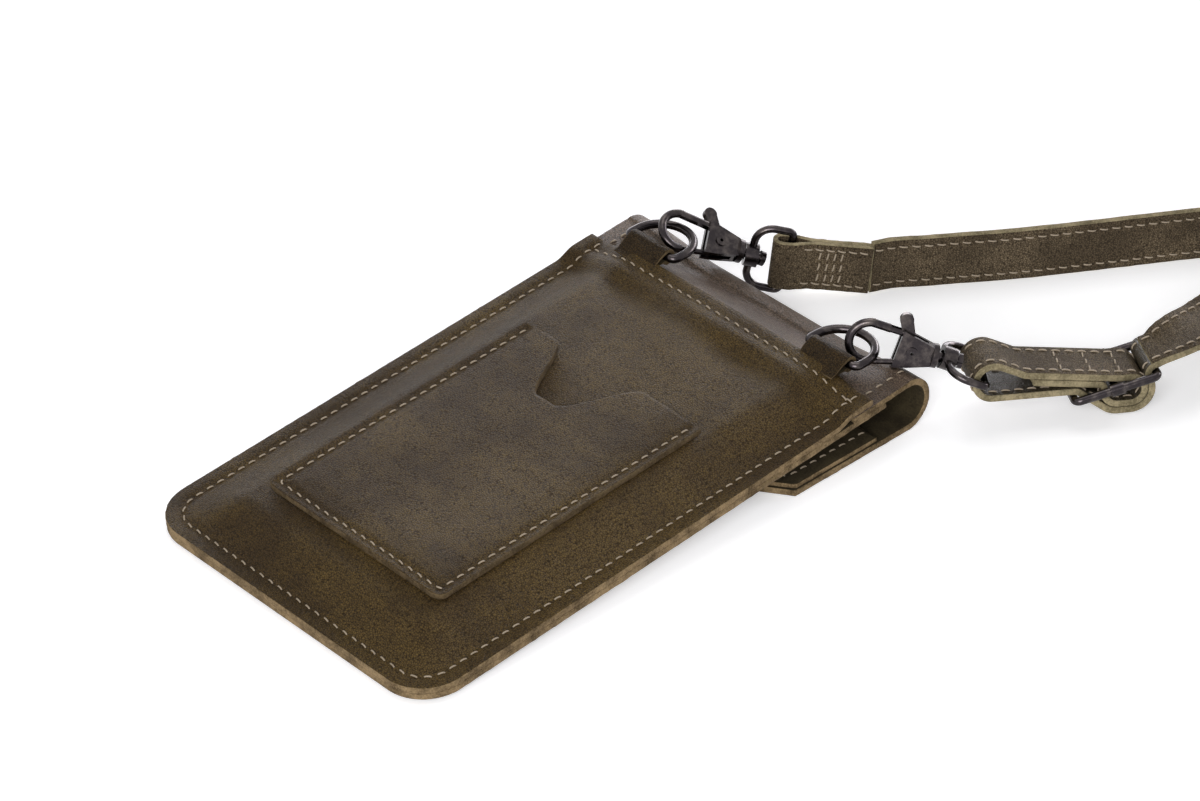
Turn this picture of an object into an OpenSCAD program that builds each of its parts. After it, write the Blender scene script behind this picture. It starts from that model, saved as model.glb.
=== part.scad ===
// Crossbody phone pouch of oiled leather, laid on its face: card pocket up, flap folded underneath.
// Two D-rings at the top carry a narrow strap on two swivel snap hooks, with a slider near one end.
// X runs across the pouch, Y from its closed end to the fold of the flap, and Z is up from the table.
// The table is at zero height, and the pouch tilts because the folded flap props up its top end.

/* [Pouch] */
// Width across the two sewn sides
pouch_w = 108.8; // [96:0.2:125]
// Length of the back panel, from the closed end to its top edge
back_len = 162; // [145:1:180]
// How far the front panel passes the back panel's top edge
front_over = 5; // [2:0.5:7]
// Thickness of the main leather
leather_t = 1.9; // [1.4:0.1:2.3]
// Radius of the two corners at the closed end
corner_r = 13; // [6:0.5:20]
// Distance from the edge to the seam that joins the panels
seam_in = 5; // [3:0.25:7]
// Height that the back panel stands out to make room for the phone
back_swell = 5; // [3:0.25:6.5]
// Height that the front panel stands out
front_swell = 3; // [2:0.25:3.5]
// Width of the slope from the seam up to the flat of a panel
slope_w = 15; // [10:0.5:20]

/* [Flap] */
// Distance from the back panel's top edge to the axis of the flap's fold
fold_out = 13.6; // [11:0.2:17]
// Outer radius of the fold
fold_r = 8.3; // [7.4:0.1:9.5]
// Distance from the fold's axis to the free edge
flap_reach = 58; // [48:1:70]
// Width of the slanting cut at each free corner
flap_cut_w = 22; // [8:1:30]
// Length of that cut along the pouch
flap_cut_len = 15; // [5:0.5:22]
// How much lower the fold lies between its two ends
fold_sag = 3.3; // [0:0.1:4]
// Length of the flap's leather that is sewn under the back panel
flap_tail = 7; // [5:0.5:10]
// Thickness of the lining inside the free part of the flap
lining_t = 1.3; // [0.8:0.1:1.6]
// Distance from the fold's axis to the lining's upper edge
lining_from = 11.5; // [8:0.5:16]
// Width of the gap at the line where the flap swings
flap_gap = 0.3; // [0.2:0.05:0.5]

/* [Card pocket] */
// Width of the pocket
pocket_w = 68; // [60:1:76]
// Length of the pocket
pocket_len = 93; // [80:1:105]
// Distance from the closed end to the pocket
pocket_from = 25; // [20:1:32]
// Thickness of the pocket's leather
pocket_t = 1.8; // [1.2:0.1:2.2]
// Radius of its two lower corners
pocket_r = 3; // [1:0.5:8]
// Width of the thumb notch at the mouth
notch_w = 33; // [26:1:40]
// Depth of the thumb notch
notch_d = 20; // [14:1:26]
// How far the notch lies to the left of the middle
notch_off = 4.5; // [0:0.5:8]

/* [Tabs and D-rings] */
// Distance of each tab from the middle of the pouch
tab_x = 35; // [30:0.5:38]
// Width of a tab
tab_w = 14; // [11:0.5:16]
// Thickness of a tab's leather
tab_t = 1.5; // [1:0.1:1.8]
// Distance from the back panel's top edge to the axis of the tab's roll
tab_out = 4.3; // [4:0.1:6]
// Length of a tab's tails under the back panel
tab_tail = 5; // [3:0.5:6]
// Thickness of the pared tails, both together
tab_pared_t = 1; // [0.6:0.1:1.2]
// Diameter of a D-ring's wire
ring_wire = 2.5; // [2:0.1:2.8]
// Distance from a D-ring's bar to the crown of its bow
ring_depth = 12.9; // [11:0.1:14]
// Bend radius at the two corners of a D-ring
ring_corner_r = 1.6; // [1.4:0.1:2.4]
// Slope at which the D-rings lie, held up by the hooks
ring_rise = -1; // [-4:0.5:8]

/* [Snap hooks] */
// Diameter of the hook's wire
hook_wire = 2.4; // [2:0.1:2.6]
// Radius of the hook's bow, to the middle of the wire
bow_r = 5.6; // [5.4:0.1:6.2]
// Distance from the rivet to the centre of the bow
bow_x = 11.6; // [11:0.1:13]
// Angle that the bow's nose runs on past its lowest point
nose_turn = 6; // [2:1:10]
// Thickness of the body
body_t = 4.2; // [3.6:0.1:4.6]
// Width of the slot in which the trigger swings
slot_t = 1.8; // [1.4:0.1:2]
// Diameter of the hollow rivet's shank
rivet_d = 2; // [1.6:0.1:2.4]
// Diameter of the rivet's heads
rivet_head_d = 3.2; // [2.8:0.1:3.6]
// Diameter of the gate's bar
gate_d = 1.6; // [1.2:0.1:1.6]
// Length of the thumb lever, from the rivet
lever_len = 10.3; // [9:0.1:12]
// Width of the thumb lever
lever_w = 3.8; // [3:0.1:4.4]
// Diameter of the collar at the foot of the body
collar_d = 6.8; // [6:0.1:7.4]
// Thickness of the collar
collar_t = 1.5; // [1.2:0.1:1.7]
// Diameter of the swivel post
post_d = 2.6; // [2.2:0.1:2.8]
// Diameter of the post's peened head
post_head_d = 4.2; // [3.9:0.1:4.6]
// Thickness of the post's head
post_head_t = 1.3; // [1:0.1:1.6]

/* [Swivel rings] */
// Outer diameter of the barrel that turns on the post
barrel_d = 6.6; // [6:0.1:7]
// Length of the barrel
barrel_len = 3.8; // [3.4:0.1:4]
// Diameter of the barrel's loose bore
barrel_bore_d = 3.8; // [3.5:0.05:3.9]
// Diameter of the ring's wire
swivel_wire = 2.2; // [1.8:0.1:2.4]
// Distance from the barrel's middle to the ring's bar
swivel_depth = 10.2; // [9.8:0.1:12]
// Bend radius of the ring's shoulders
shoulder_r = 5; // [4:0.1:6]

/* [Strap] */
// Width of the strap
strap_w = 16; // [14:0.5:17]
// Thickness of the strap, two plies
strap_t = 1.9; // [1.8:0.1:2.4]
// Side play of the strap in its rings
strap_play = 0.5; // [0.4:0.1:1]
// Length of the sewn fold at the far end
far_fold_len = 23; // [20:1:30]
// Inner radius of the strap's fold at the near end
near_fold_r = 3.9; // [3.4:0.1:4.4]
// Distance from the near ring's bar to the slider's middle bar
slider_at = 35.2; // [34:0.5:42]
// Slope at which the slider lies
slider_rise = 14; // [8:1:18]
// Inner radius of the strap's fold round the slider's middle bar
wrap_in = 2.9; // [2.3:0.1:3.2]
// Extra length of that fold, which is not pulled tight
wrap_run = 3.6; // [2:0.2:5]
// Diameter of the slider's wire
slider_wire = 2.4; // [2:0.1:2.6]
// Diameter of the slider's sliding middle bar
slider_bar_d = 2.2; // [1.8:0.1:2.4]
// Length of the turned-back end that is sewn under the strap
return_len = 18; // [14:0.5:22]
// Distance between neighbouring turns of the rolled strap
coil_pitch = 7.5; // [6.5:0.5:9]

/* [Magnetic snap] */
// Distance from the flap's free edge to the snap's middle
snap_in = 14; // [11:0.5:18]
// Diameter of the snap
snap_d = 14; // [11:0.5:15]
// Height of the half on the flap, as a share of the room between flap and front panel
socket_share = 0.59; // [0.5:0.01:0.62]
// Thickness of the half on the front panel, as a share of that room
stud_share = 0.31; // [0.24:0.01:0.33]
// Diameter of the stud's pin
pin_d = 4; // [3:0.1:5]
// Thickness of the washers behind the leather
washer_t = 0.5; // [0.3:0.05:0.6]

/* [Hidden] */

// Colours
c_leather = "#51452f";
c_suede = "#4a3f2a";
c_strap = "#4c4735";
c_metal = "#4a4446";
c_bright = "#8a8480";

// Clearances and small allowances
fit_gap = 0.05;
soft_gap = 0.3;
seat_gap = 0.1;
tuck_gap = 0.25;
over = 1;
fine = 48;

// Tilt of the pouch: the flap's top face runs tangent to the fold, whose lowest point is on the table
fold_y = back_len + fold_out;
stack_t = 2 * leather_t;
tilt = 2 * atan((sqrt(fold_y * fold_y + stack_t * (2 * fold_r - stack_t)) - fold_y) / stack_t);
front_len = back_len + front_over;
half_pouch = pouch_w / 2;
// Middle of the pouch's length in plan, which becomes the origin
mid_y = (fold_y + fold_r - stack_t * sin(tilt)) / 2;

// Shares that shape the swelling of the panels towards the mouth
mouth_share = 0.6;
mouth_run_share = 0.14;

function ease(u) = let (c = max(0, min(1, u))) c * c * (3 - 2 * c);
function swell(x, y) = ease((half_pouch - seam_in - abs(x)) / slope_w) * ease((y - seam_in) / slope_w)
    * (1 - (1 - mouth_share) * ease((y - back_len * (1 - mouth_run_share)) / (back_len * mouth_run_share)));
// Height of the flap's top face over the plane of the side seams, falling to nothing at the fold
function fold_swell(x, y) = back_swell * swell(x, y) * (1 - ease((y - back_len) / (fold_y - back_len)));
// Between its ends the fold sinks
sag_share = 0.46;
function sag(x) = ease((half_pouch - seam_in - abs(x)) / (half_pouch * sag_share)) * fold_sag;
function fold_z(x, y) = stack_t + fold_swell(x, y) - sag(x) * ease((y - back_len) / (bend_y - back_len));
// The back panel climbs onto the flap's tail near the mouth
function tail_step(y) = leather_t * ease((y - (back_len - 2 * flap_tail)) / flap_tail);
function back_z(x, y) = stack_t + back_swell * swell(x, y) + tail_step(y);
function front_z(x, y) = -min(front_swell * swell(x, y), max(0, y) * tan(tilt));
// A panel's half width at a distance from its closed end, which has round corners
function half_at(y) = y < corner_r
    ? half_pouch - corner_r + sqrt(corner_r * corner_r - (corner_r - y) * (corner_r - y))
    : half_pouch;
// A point of the tilted pouch, in the table's frame
function tilted(p) = [p.x, p.y * cos(tilt) - p.z * sin(tilt), p.y * sin(tilt) + p.z * cos(tilt)];

// Moves everything so that the origin is under the middle of the pouch
module placed() {
    translate([0, -mid_y, 0]) children();
}

// A closed sheet between two grids of points with equal rows
module slab(tops, bottoms, per_row) {
    n = len(tops);
    rows = n / per_row;
    function quad(a, b, c, d) = [[a, b, c], [a, c, d]];
    skin = [for (j = [0:rows - 2]) for (i = [0:per_row - 2]) let (a = j * per_row + i, b = a + per_row)
        each concat(quad(a, b, b + 1, a + 1), quad(n + a, n + a + 1, n + b + 1, n + b))];
    ends = [for (i = [0:per_row - 2]) let (z = n - per_row + i)
        each concat(quad(i, i + 1, n + i + 1, n + i), quad(z + 1, z, n + z, n + z + 1))];
    sides = [for (j = [0:rows - 2]) let (a = j * per_row, b = a + per_row, e = b - 1, f = b + per_row - 1)
        each concat(quad(b, a, n + a, n + b), quad(e, f, n + f, n + e))];
    polyhedron(concat(tops, bottoms), concat(skin, ends, sides));
}

// Rows of a panel: close together round the corners, then even
panel_cols = 18;
corner_rows = 5;
panel_rows = 18;
function panel_row_list(last) = concat(
    [for (k = [0:corner_rows - 1]) corner_r * (1 - cos(90 * k / corner_rows))],
    [for (k = [0:panel_rows]) corner_r + (last - corner_r) * k / panel_rows]);
function grid(rows, top) = [for (y = rows) for (i = [0:panel_cols])
    let (x = half_at(y) * (2 * i / panel_cols - 1)) tilted([x, y, top(x, y)])];

// Leather panels

module back_panel() {
    rows = panel_row_list(back_len);
    color(c_leather) placed() difference() {
        slab(grid(rows, function(x, y) back_z(x, y)),
            grid(rows, function(x, y) back_z(x, y) - leather_t), panel_cols + 1);
        for (side = [-1, 1]) tab_tail_space(side, fit_gap);
    }
}

module front_panel() {
    rows = panel_row_list(front_len);
    color(c_leather) placed()
        slab(grid(rows, function(x, y) front_z(x, y) + leather_t),
            grid(rows, function(x, y) front_z(x, y)), panel_cols + 1);
}

// The part of the flap's leather that stays with the pouch, from the seam to the crown of the fold
fold_rows = 6;
bend_rows = 6;
function fold_grid(depth) = concat(
    [for (k = [0:fold_rows]) for (i = [0:panel_cols])
        let (y = back_len - flap_tail + (bend_y - back_len + flap_tail) * k / fold_rows,
            x = half_pouch * (2 * i / panel_cols - 1))
        tilted([x, y, fold_z(x, y) - tuck_gap - depth])],
    [for (k = [1:bend_rows]) for (i = [0:panel_cols])
        let (a = (90 + tilt) * (1 - k / bend_rows), x = half_pouch * (2 * i / panel_cols - 1))
        [x, fold_y + (fold_r - depth) * cos(a), fold_r + (fold_r - depth - sag(x)) * sin(a)]]);
// Distance along the tilted pouch at which the bend starts
bend_y = fold_y * cos(tilt) + fold_r * sin(tilt);

module flap_fold() {
    color(c_leather) placed()
        slab(fold_grid(0), fold_grid(leather_t - 2 * tuck_gap), panel_cols + 1);
}

// Runs a profile drawn along the pouch, Y and Z, across its width
module across(width, middle = 0) {
    translate([middle - width / 2, 0, 0]) rotate([90, 0, 90]) linear_extrude(width) children();
}

module flap_corners(inset) {
    for (side = [-1, 1]) scale([side, 1, 1]) translate([0, 0, -over])
        linear_extrude(2 * fold_r) polygon([
            [half_pouch - flap_cut_w - inset, fold_y - flap_reach - over],
            [half_pouch - flap_cut_w - inset, fold_y - flap_reach + inset],
            [half_pouch - inset, fold_y - flap_reach + flap_cut_len + inset],
            [half_pouch + over, fold_y - flap_reach + flap_cut_len + inset],
            [half_pouch + over, fold_y - flap_reach - over]]);
}

// The part of the flap that swings, with the lower half of the fold
module flap() {
    color(c_leather) placed() difference() {
        across(pouch_w) {
            difference() {
                translate([fold_y, fold_r]) circle(fold_r, $fn = 2 * fine);
                translate([fold_y, fold_r]) circle(fold_r - leather_t, $fn = 2 * fine);
                translate([fold_y - 2 * fold_r, fold_r - flap_gap]) square(4 * fold_r);
                translate([fold_y - 4 * fold_r, -over]) square(4 * fold_r);
            }
            translate([fold_y - flap_reach, 0]) square([flap_reach, leather_t]);
        }
        flap_corners(0);
    }
}

module flap_lining() {
    edge = seat_gap * 5;
    color(c_suede) placed() difference() {
        translate([edge - half_pouch, fold_y - flap_reach + edge, leather_t])
            cube([pouch_w - 2 * edge, flap_reach - lining_from - edge, lining_t]);
        flap_corners(edge);
        translate([0, snap_y, leather_t - over]) cylinder(h = over + washer_t, d = snap_d, $fn = fine);
    }
}

// Card pocket on the back panel, open towards the fold, with an easy curve cut out for the thumb
pocket_cols = 14;
pocket_rows = 14;
notch_steps = 18;
// Share of the notch's half width at which its bottom turns into its sides
notch_share = 0.32;
function pocket_grid(depth) = [for (j = [0:pocket_rows]) for (i = [0:pocket_cols])
    let (x = pocket_w * (i / pocket_cols - 0.5), y = pocket_from + pocket_len * j / pocket_rows)
    tilted([x, y, back_z(x, y) + seat_gap + pocket_t - depth])];

module notch_outline() {
    floor_half = notch_w / 2 * notch_share;
    run = notch_w / 2 - floor_half;
    side = [for (k = [0:notch_steps]) let (u = k / notch_steps)
        [floor_half * min(1, 2 * u) + run * max(0, 2 * u - 1) * 1, -notch_d * (1 - ease(u))]];
    polygon(concat([for (p = side) [p.x, p.y]], [[notch_w / 2, over], [-notch_w / 2, over]],
        [for (k = [notch_steps:-1:1]) [-side[k].x, side[k].y]]));
}

module card_pocket() {
    color(c_leather) placed() difference() {
        slab(pocket_grid(0), pocket_grid(pocket_t), pocket_cols + 1);
        rotate([tilt, 0, 0]) translate([-notch_off, pocket_from + pocket_len, 0])
            linear_extrude(4 * back_swell) notch_outline();
        rotate([tilt, 0, 0]) for (side = [-1, 1]) scale([side, 1, 1])
            translate([pocket_w / 2 - pocket_r, pocket_from + pocket_r, 0]) difference() {
                translate([0, -pocket_r - over, 0]) cube([pocket_r + over, pocket_r + over, 4 * back_swell]);
                translate([0, 0, -over]) cylinder(h = 4 * back_swell + 2 * over, r = pocket_r, $fn = fine);
            }
    }
}

// Tabs and D-rings: the tab's leather goes round the ring's bar, and its pared tails are in the top seam

ring_half = tab_w / 2 + strap_play + ring_corner_r;
roll_r = ring_wire / 2 + fit_gap + tab_t;
tab_tail_z = fold_z(tab_x - tab_w / 2, back_len - tab_tail) + seat_gap;
// The roll rests on the flap's leather
roll_y = back_len + tab_out;
roll_z = max(fold_z(tab_x - tab_w / 2, roll_y), fold_z(tab_x, roll_y)) + 2 * seat_gap + roll_r;
lip_y = (back_len + roll_y) / 2;
lip_z = max(fold_z(tab_x, lip_y), fold_z(tab_x - tab_w / 2, lip_y)) + seat_gap;
ring_axis = tilted([0, roll_y, roll_z]);

module tab_tail_space(side, gap) {
    rotate([tilt, 0, 0]) translate([side * tab_x - tab_w / 2 - gap, back_len - tab_tail - gap, 0])
        cube([tab_w + 2 * gap, tab_tail + gap + over, tab_tail_z + tab_pared_t + gap]);
}

module tab(side) {
    color(c_leather) placed() rotate([tilt, 0, 0]) across(tab_w, side * tab_x) difference() {
        union() {
            translate([roll_y, roll_z]) circle(roll_r, $fn = fine);
            polygon([[back_len - tab_tail, tab_tail_z], [back_len, tab_tail_z], [lip_y, lip_z],
                [roll_y, roll_z - roll_r], [roll_y, roll_z + roll_r],
                [back_len + fit_gap, tab_tail_z + tab_pared_t],
                [back_len - tab_tail, tab_tail_z + tab_pared_t]]);
        }
        translate([roll_y, roll_z]) circle(ring_wire / 2 + fit_gap, $fn = fine);
    }
}

// Straight wire from one point to another in the XY plane
module wire(from, to, d) {
    v = to - from;
    translate([from.x, from.y, 0]) rotate([0, 90, atan2(v.y, v.x)]) cylinder(h = norm(v), d = d, $fn = fine);
}

// Bent wire: part of a circle in the XY plane
module bend(centre, r, d, start, turn) {
    translate([centre.x, centre.y, 0]) rotate([0, 0, start])
        rotate_extrude(angle = turn, $fn = 2 * fine) translate([r, 0]) circle(d = d, $fn = fine / 2);
}

module d_ring(side) {
    c = ring_corner_r;
    bow = ring_half;
    side_end = ring_depth - bow;
    color(c_metal) placed() translate([side * tab_x, ring_axis.y, ring_axis.z]) rotate([ring_rise, 0, 0]) {
        wire([c - bow, 0], [bow - c, 0], ring_wire);
        for (k = [-1, 1]) scale([k, 1, 1]) {
            bend([bow - c, c], c, ring_wire, 270, 90);
            wire([bow, c], [bow, max(c, side_end)], ring_wire);
        }
        bend([0, max(c, side_end)], bow, ring_wire, 0, 180);
    }
}

// Snap hooks, each drawn with its rivet at the origin, the swivel post along +X and the lever towards +Y

// Where each rivet is, and how its hook lies: roll, drop and heading
far_rivet_at = [-27.2, 183.8, 16.9];
far_hook_lie = [27, 24.5, 52];
near_rivet_at = [48.4, 182.2, 20.3];
near_hook_lie = [76, 14, 46];
// The swivel rings hang a little slack on their posts: roll, drop and heading
far_ring_lie = [90, 12, 46];
near_ring_lie = [-8, 22, 47];

collar_x = 5.7;
collar_end = collar_x + collar_t;
barrel_x = 10.2;
head_x = 12.9;
slack_bore = rivet_d / 2 + fit_gap;
// Outline of the body as shares of its reach to the collar and of the bow's radius
slot_share = 0.72;
slot_from = -bow_x + bow_r - over;
body_shares = [[-0.62, 1.02], [-0.2, 0.86], [1, 0.5], [1, -0.5], [-0.1, -0.8], [-0.78, -0.92]];

module at_hook(at, lie) {
    placed() translate(at) rotate(lie) children();
}

module hook_body(at, lie) {
    bow_top = [-bow_x - over, bow_r];
    shoulder = [-0.6 * collar_x, 0.82 * bow_r];
    color(c_metal) at_hook(at, lie) {
        bend([-bow_x, 0], bow_r, hook_wire, 90, 180 + nose_turn);
        difference() {
            union() {
                wire(bow_top, shoulder, hook_wire);
                difference() {
                    translate([0, 0, -body_t / 2]) linear_extrude(body_t)
                        polygon([for (s = body_shares) [s.x * collar_x, s.y * bow_r]]);
                    // The bow's opening is cut into the body
                    translate([-bow_x, 0, -body_t])
                        cylinder(h = 2 * body_t, r = bow_r + over / 2, $fn = 2 * fine);
                }
            }
            // Slot for the trigger, open towards the lever and the gate
            translate([slot_from, -2 * bow_r, -slot_t / 2])
                cube([slot_share * collar_x - slot_from, 4 * bow_r, slot_t]);
            translate([0, 0, -body_t]) cylinder(h = 2 * body_t, d = rivet_d, $fn = fine);
        }
        rotate([0, 90, 0]) {
            translate([0, 0, collar_x]) cylinder(h = collar_t, d = collar_d, $fn = fine);
            translate([0, 0, collar_x]) cylinder(h = head_x - collar_x, d = post_d, $fn = fine);
            translate([0, 0, head_x]) cylinder(h = post_head_t, d = post_head_d, $fn = fine);
        }
    }
}

gate_from = [-0.55 * collar_x, -0.72 * bow_r];
nose_end = [-bow_x + bow_r * sin(nose_turn), -bow_r * cos(nose_turn)];
nose_in_r = bow_r - hook_wire / 2;
// The gate ends on a curve about the rivet that passes inside the nose
gate_reach = norm([-bow_x + nose_in_r * sin(nose_turn), -nose_in_r * cos(nose_turn)]) - soft_gap;

module hook_trigger(at, lie) {
    t = slot_t - 2 * seat_gap;
    color(c_metal) at_hook(at, lie) difference() {
        union() {
            translate([0, 0, -t / 2]) linear_extrude(t) {
                circle(r = rivet_d / 2 + 1.6 * tab_t / 1.5, $fn = fine);
                polygon([[-lever_w / 2, 0], [-lever_w * 1.4, lever_len - lever_w / 2],
                    [-lever_w * 0.4, lever_len - lever_w / 2], [lever_w / 2, 0]]);
                translate([-lever_w * 0.9, lever_len - lever_w / 2]) circle(d = lever_w, $fn = fine);
                polygon([[-rivet_d, rivet_d / 2], [rivet_d / 2, -rivet_d],
                    gate_from + [gate_d / 2, -gate_d / 2], gate_from + [-gate_d / 2, gate_d / 4]]);
            }
            intersection() {
                wire(nose_end + (nose_end - gate_from) * (gate_d / norm(nose_end)), gate_from, gate_d);
                translate([0, 0, -body_t]) cylinder(h = 2 * body_t, r = gate_reach, $fn = 4 * fine);
            }
        }
        translate([0, 0, -body_t]) cylinder(h = 2 * body_t, r = slack_bore, $fn = fine);
    }
}

module hook_rivet(at, lie) {
    head_t = rivet_head_d / 8;
    color(c_bright) at_hook(at, lie) difference() {
        union() {
            translate([0, 0, -body_t / 2]) cylinder(h = body_t, d = rivet_d, $fn = fine);
            for (side = [-1, 1]) translate([0, 0, side * (body_t + head_t) / 2 - head_t / 2])
                cylinder(h = head_t, d = rivet_head_d, $fn = fine);
        }
        translate([0, 0, -body_t]) cylinder(h = 2 * body_t, d = rivet_d / 2, $fn = fine);
    }
}

// Coil spring between the end of the slot and the trigger's heel
spring_turns = 4;
spring_steps = 10;
spring_wire = 0.26;
spring_d = 1.2;
function spring_route(from, to) = [for (k = [0:spring_turns * spring_steps])
    let (a = 360 * k / spring_steps, u = k / (spring_turns * spring_steps))
    [from + (to - from) * u, spring_d / 2 * cos(a), spring_d / 2 * sin(a)]];

module hook_spring(at, lie) {
    from = rivet_d / 2 + 1.6 * tab_t / 1.5 + seat_gap + spring_wire / 2;
    to = slot_share * collar_x - seat_gap - spring_wire / 2;
    color(c_bright) at_hook(at, lie) tube(spring_route(from, to), spring_wire, 5);
}

module swivel_ring(at, lie, ring_lie) {
    half = strap_w / 2 + 1.6 * strap_play + swivel_wire / 2;
    c = ring_corner_r;
    s = shoulder_r;
    neck = half - s;
    hub = at + heading(lie) * barrel_x;
    color(c_metal) placed() translate(hub) rotate(ring_lie) {
        difference() {
            translate([-barrel_len / 2, 0, 0]) rotate([0, 90, 0]) cylinder(h = barrel_len, d = barrel_d, $fn = fine);
            translate([-barrel_len, 0, 0]) rotate([0, 90, 0])
                cylinder(h = 2 * barrel_len, d = barrel_bore_d, $fn = fine);
        }
        for (k = [-1, 1]) scale([1, k, 1]) {
            wire([0, barrel_bore_d / 2 + spring_wire * 2], [0, neck], swivel_wire);
            bend([s, neck], s, swivel_wire, 90, 90);
            wire([s, half], [swivel_depth - c, half], swivel_wire);
            bend([swivel_depth - c, half - c], c, swivel_wire, 0, 90);
        }
        wire([swivel_depth, c - half], [swivel_depth, half - c], swivel_wire);
    }
}

// Direction of +X after a lie of roll, drop and heading
function heading(lie) = [cos(lie.y) * cos(lie.z), cos(lie.y) * sin(lie.z), -sin(lie.y)];
function bar_of(at, lie, ring_lie) = at + heading(lie) * barrel_x + heading(ring_lie) * swivel_depth;
far_bar = bar_of(far_rivet_at, far_hook_lie, far_ring_lie);
near_bar = bar_of(near_rivet_at, near_hook_lie, near_ring_lie);

// Sweeps

// A round tube along a route, with one ring of points for each point of the route
function along(route, k) = let (n = len(route), v = route[min(k + 1, n - 1)] - route[max(k - 1, 0)]) v / norm(v);
function unit(v) = v / norm(v);
module skin(rings) {
    n = len(rings);
    m = len(rings[0]);
    polyhedron([for (r = rings) each r], concat(
        [for (j = [0:n - 2]) for (i = [0:m - 1]) let (a = j * m + i, b = j * m + (i + 1) % m)
            each [[a, b, b + m], [a, b + m, a + m]]],
        [for (i = [1:m - 2]) [0, i + 1, i]],
        [for (i = [1:m - 2]) [(n - 1) * m, (n - 1) * m + i, (n - 1) * m + i + 1]]));
}
module tube(route, d, sides) {
    skin([for (k = [0:len(route) - 1])
        let (t = along(route, k), s = unit(cross(t, [1, 0.01, 0.02])), u = cross(t, s))
        [for (i = [0:sides - 1]) let (a = -360 * i / sides) route[k] + d / 2 * (cos(a) * s + sin(a) * u)]]);
}
// A strap along a route of [x, y, z, lean]: lean 0 stands on its edge, and 90 lies flat
edge_share = 0.2;
function strap_ring(p, t, lean) = let (s = unit(cross(t, [0, 0, 1])), u = cross(s, t),
        w = cos(lean) * u + sin(lean) * s, q = cross(w, t), hw = strap_w / 2, ht = strap_t / 2, e = edge_share * strap_t)
    [for (c = [[hw, ht - e], [hw - e, ht], [e - hw, ht], [-hw, ht - e],
        [-hw, e - ht], [e - hw, -ht], [hw - e, -ht], [hw, e - ht]]) p + c.x * w + c.y * q];
function places(route) = [for (p = route) [p.x, p.y, p.z]];
module strap(route, first, last) {
    pts = places(route);
    n = len(pts);
    skin([for (k = [0:n - 1])
        strap_ring(pts[k], k == 0 ? first : k == n - 1 ? last : along(pts, k), route[k][3])]);
}

// Strap ends

// A strap seen from its edge: a ribbon of its thickness along a route in a plane
function turned(v) = [-v.y, v.x];
module ribbon(route, t) {
    n = len(route);
    sides = [for (s = [1, -1]) [for (k = [0:n - 1])
        route[k] + s * t / 2 * turned(along(route, k))]];
    polygon(concat(sides[0], [for (k = [n - 1:-1:0]) sides[1][k]]));
}
function arc(centre, r, start, end, steps) =
    [for (k = [0:steps]) let (a = start + (end - start) * k / steps) centre + r * [cos(a), sin(a)]];

far_heading = far_ring_lie.z;
// The fold round the ring's bar, drawn from the bar: the slot leaves the leaning bar room
slot_r = swivel_wire / 2 + 3.5 * seat_gap;
slot_lean = strap_w / 2 * tan(far_ring_lie.y);
// Share of the strap's thickness that is left of a ply where it folds
fold_ply_share = 0.72;
fall_share = 0.2;
strap_up = strap_w / 2;
merge_share = 2.6;
// The fold falls from the ring's height towards the table
far_up = strap_up + fall_share * (far_bar.z - strap_up);
far_fall = asin((far_bar.z - far_up) / far_fold_len);
module strap_far_end() {
    ply = fold_ply_share * strap_t;
    outer = slot_r + ply;
    merge = merge_share * strap_t + slot_lean;
    color(c_strap) placed() translate([far_bar.x, far_bar.y, far_bar.z]) rotate([0, far_fall, far_heading])
        translate([0, 0, -strap_w / 2]) linear_extrude(strap_w) difference() {
            union() {
                translate([-slot_lean, 0]) circle(outer, $fn = fine);
                polygon([[-slot_lean, -outer], [slot_lean, -outer], [merge, -ply], [far_fold_len, -ply],
                    [far_fold_len, ply], [merge, ply], [slot_lean, outer], [-slot_lean, outer]]);
            }
            translate([-slot_lean, 0]) circle(slot_r, $fn = fine);
            polygon([[-slot_lean, -slot_r], [slot_lean, -slot_r], [merge, 0], [slot_lean, slot_r],
                [-slot_lean, slot_r]]);
        }
}

// The near end is drawn in its own frame: U along the strap from the slider's middle bar, and V up
// from the lowest point of the strap; the frame leans a little, with its near side up
near_heading = 56;
near_roll = 8;
low_edge = strap_w / 2 * sin(near_roll);
bar_v = (near_bar.z - low_edge) / cos(near_roll);
ply_gap = 1.5 * seat_gap;
loop_r = near_fold_r + strap_t / 2;
wrap_r = wrap_in + strap_t / 2;
outer_r = wrap_r + strap_t + ply_gap;
over_r = slider_wire / 2 + 2 * seat_gap + strap_t / 2;
bar_angle = 115;
bar_off = wrap_in - slider_bar_d / 2 - fit_gap;
wrap_v = outer_r + strap_t / 2;
middle_bar = [0, wrap_v + bar_off * sin(bar_angle)];
wrap_left = [-bar_off * cos(bar_angle), wrap_v];
wrap_right = wrap_left + [wrap_run, 0];
slider_dir = [cos(slider_rise), sin(slider_rise)];
// The slider is long enough for the strap to pass between the fold and its right-hand bar
bar_clear = 1.01 * (outer_r + over_r);
lead = (middle_bar - wrap_right) * slider_dir;
slider_half = sqrt(bar_clear * bar_clear + lead * lead - pow(norm(middle_bar - wrap_right), 2)) - lead;
right_bar = middle_bar + slider_half * slider_dir;
left_bar = middle_bar - slider_half * slider_dir;
function angle_of(v) = atan2(v.y, v.x);
to_left = wrap_left - left_bar;
dip = angle_of(to_left) + acos((over_r + outer_r) / norm(to_left));
to_right = right_bar - wrap_right;
climb = angle_of(to_right) - acos((over_r + outer_r) / norm(to_right));
climb_end = 118;
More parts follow.
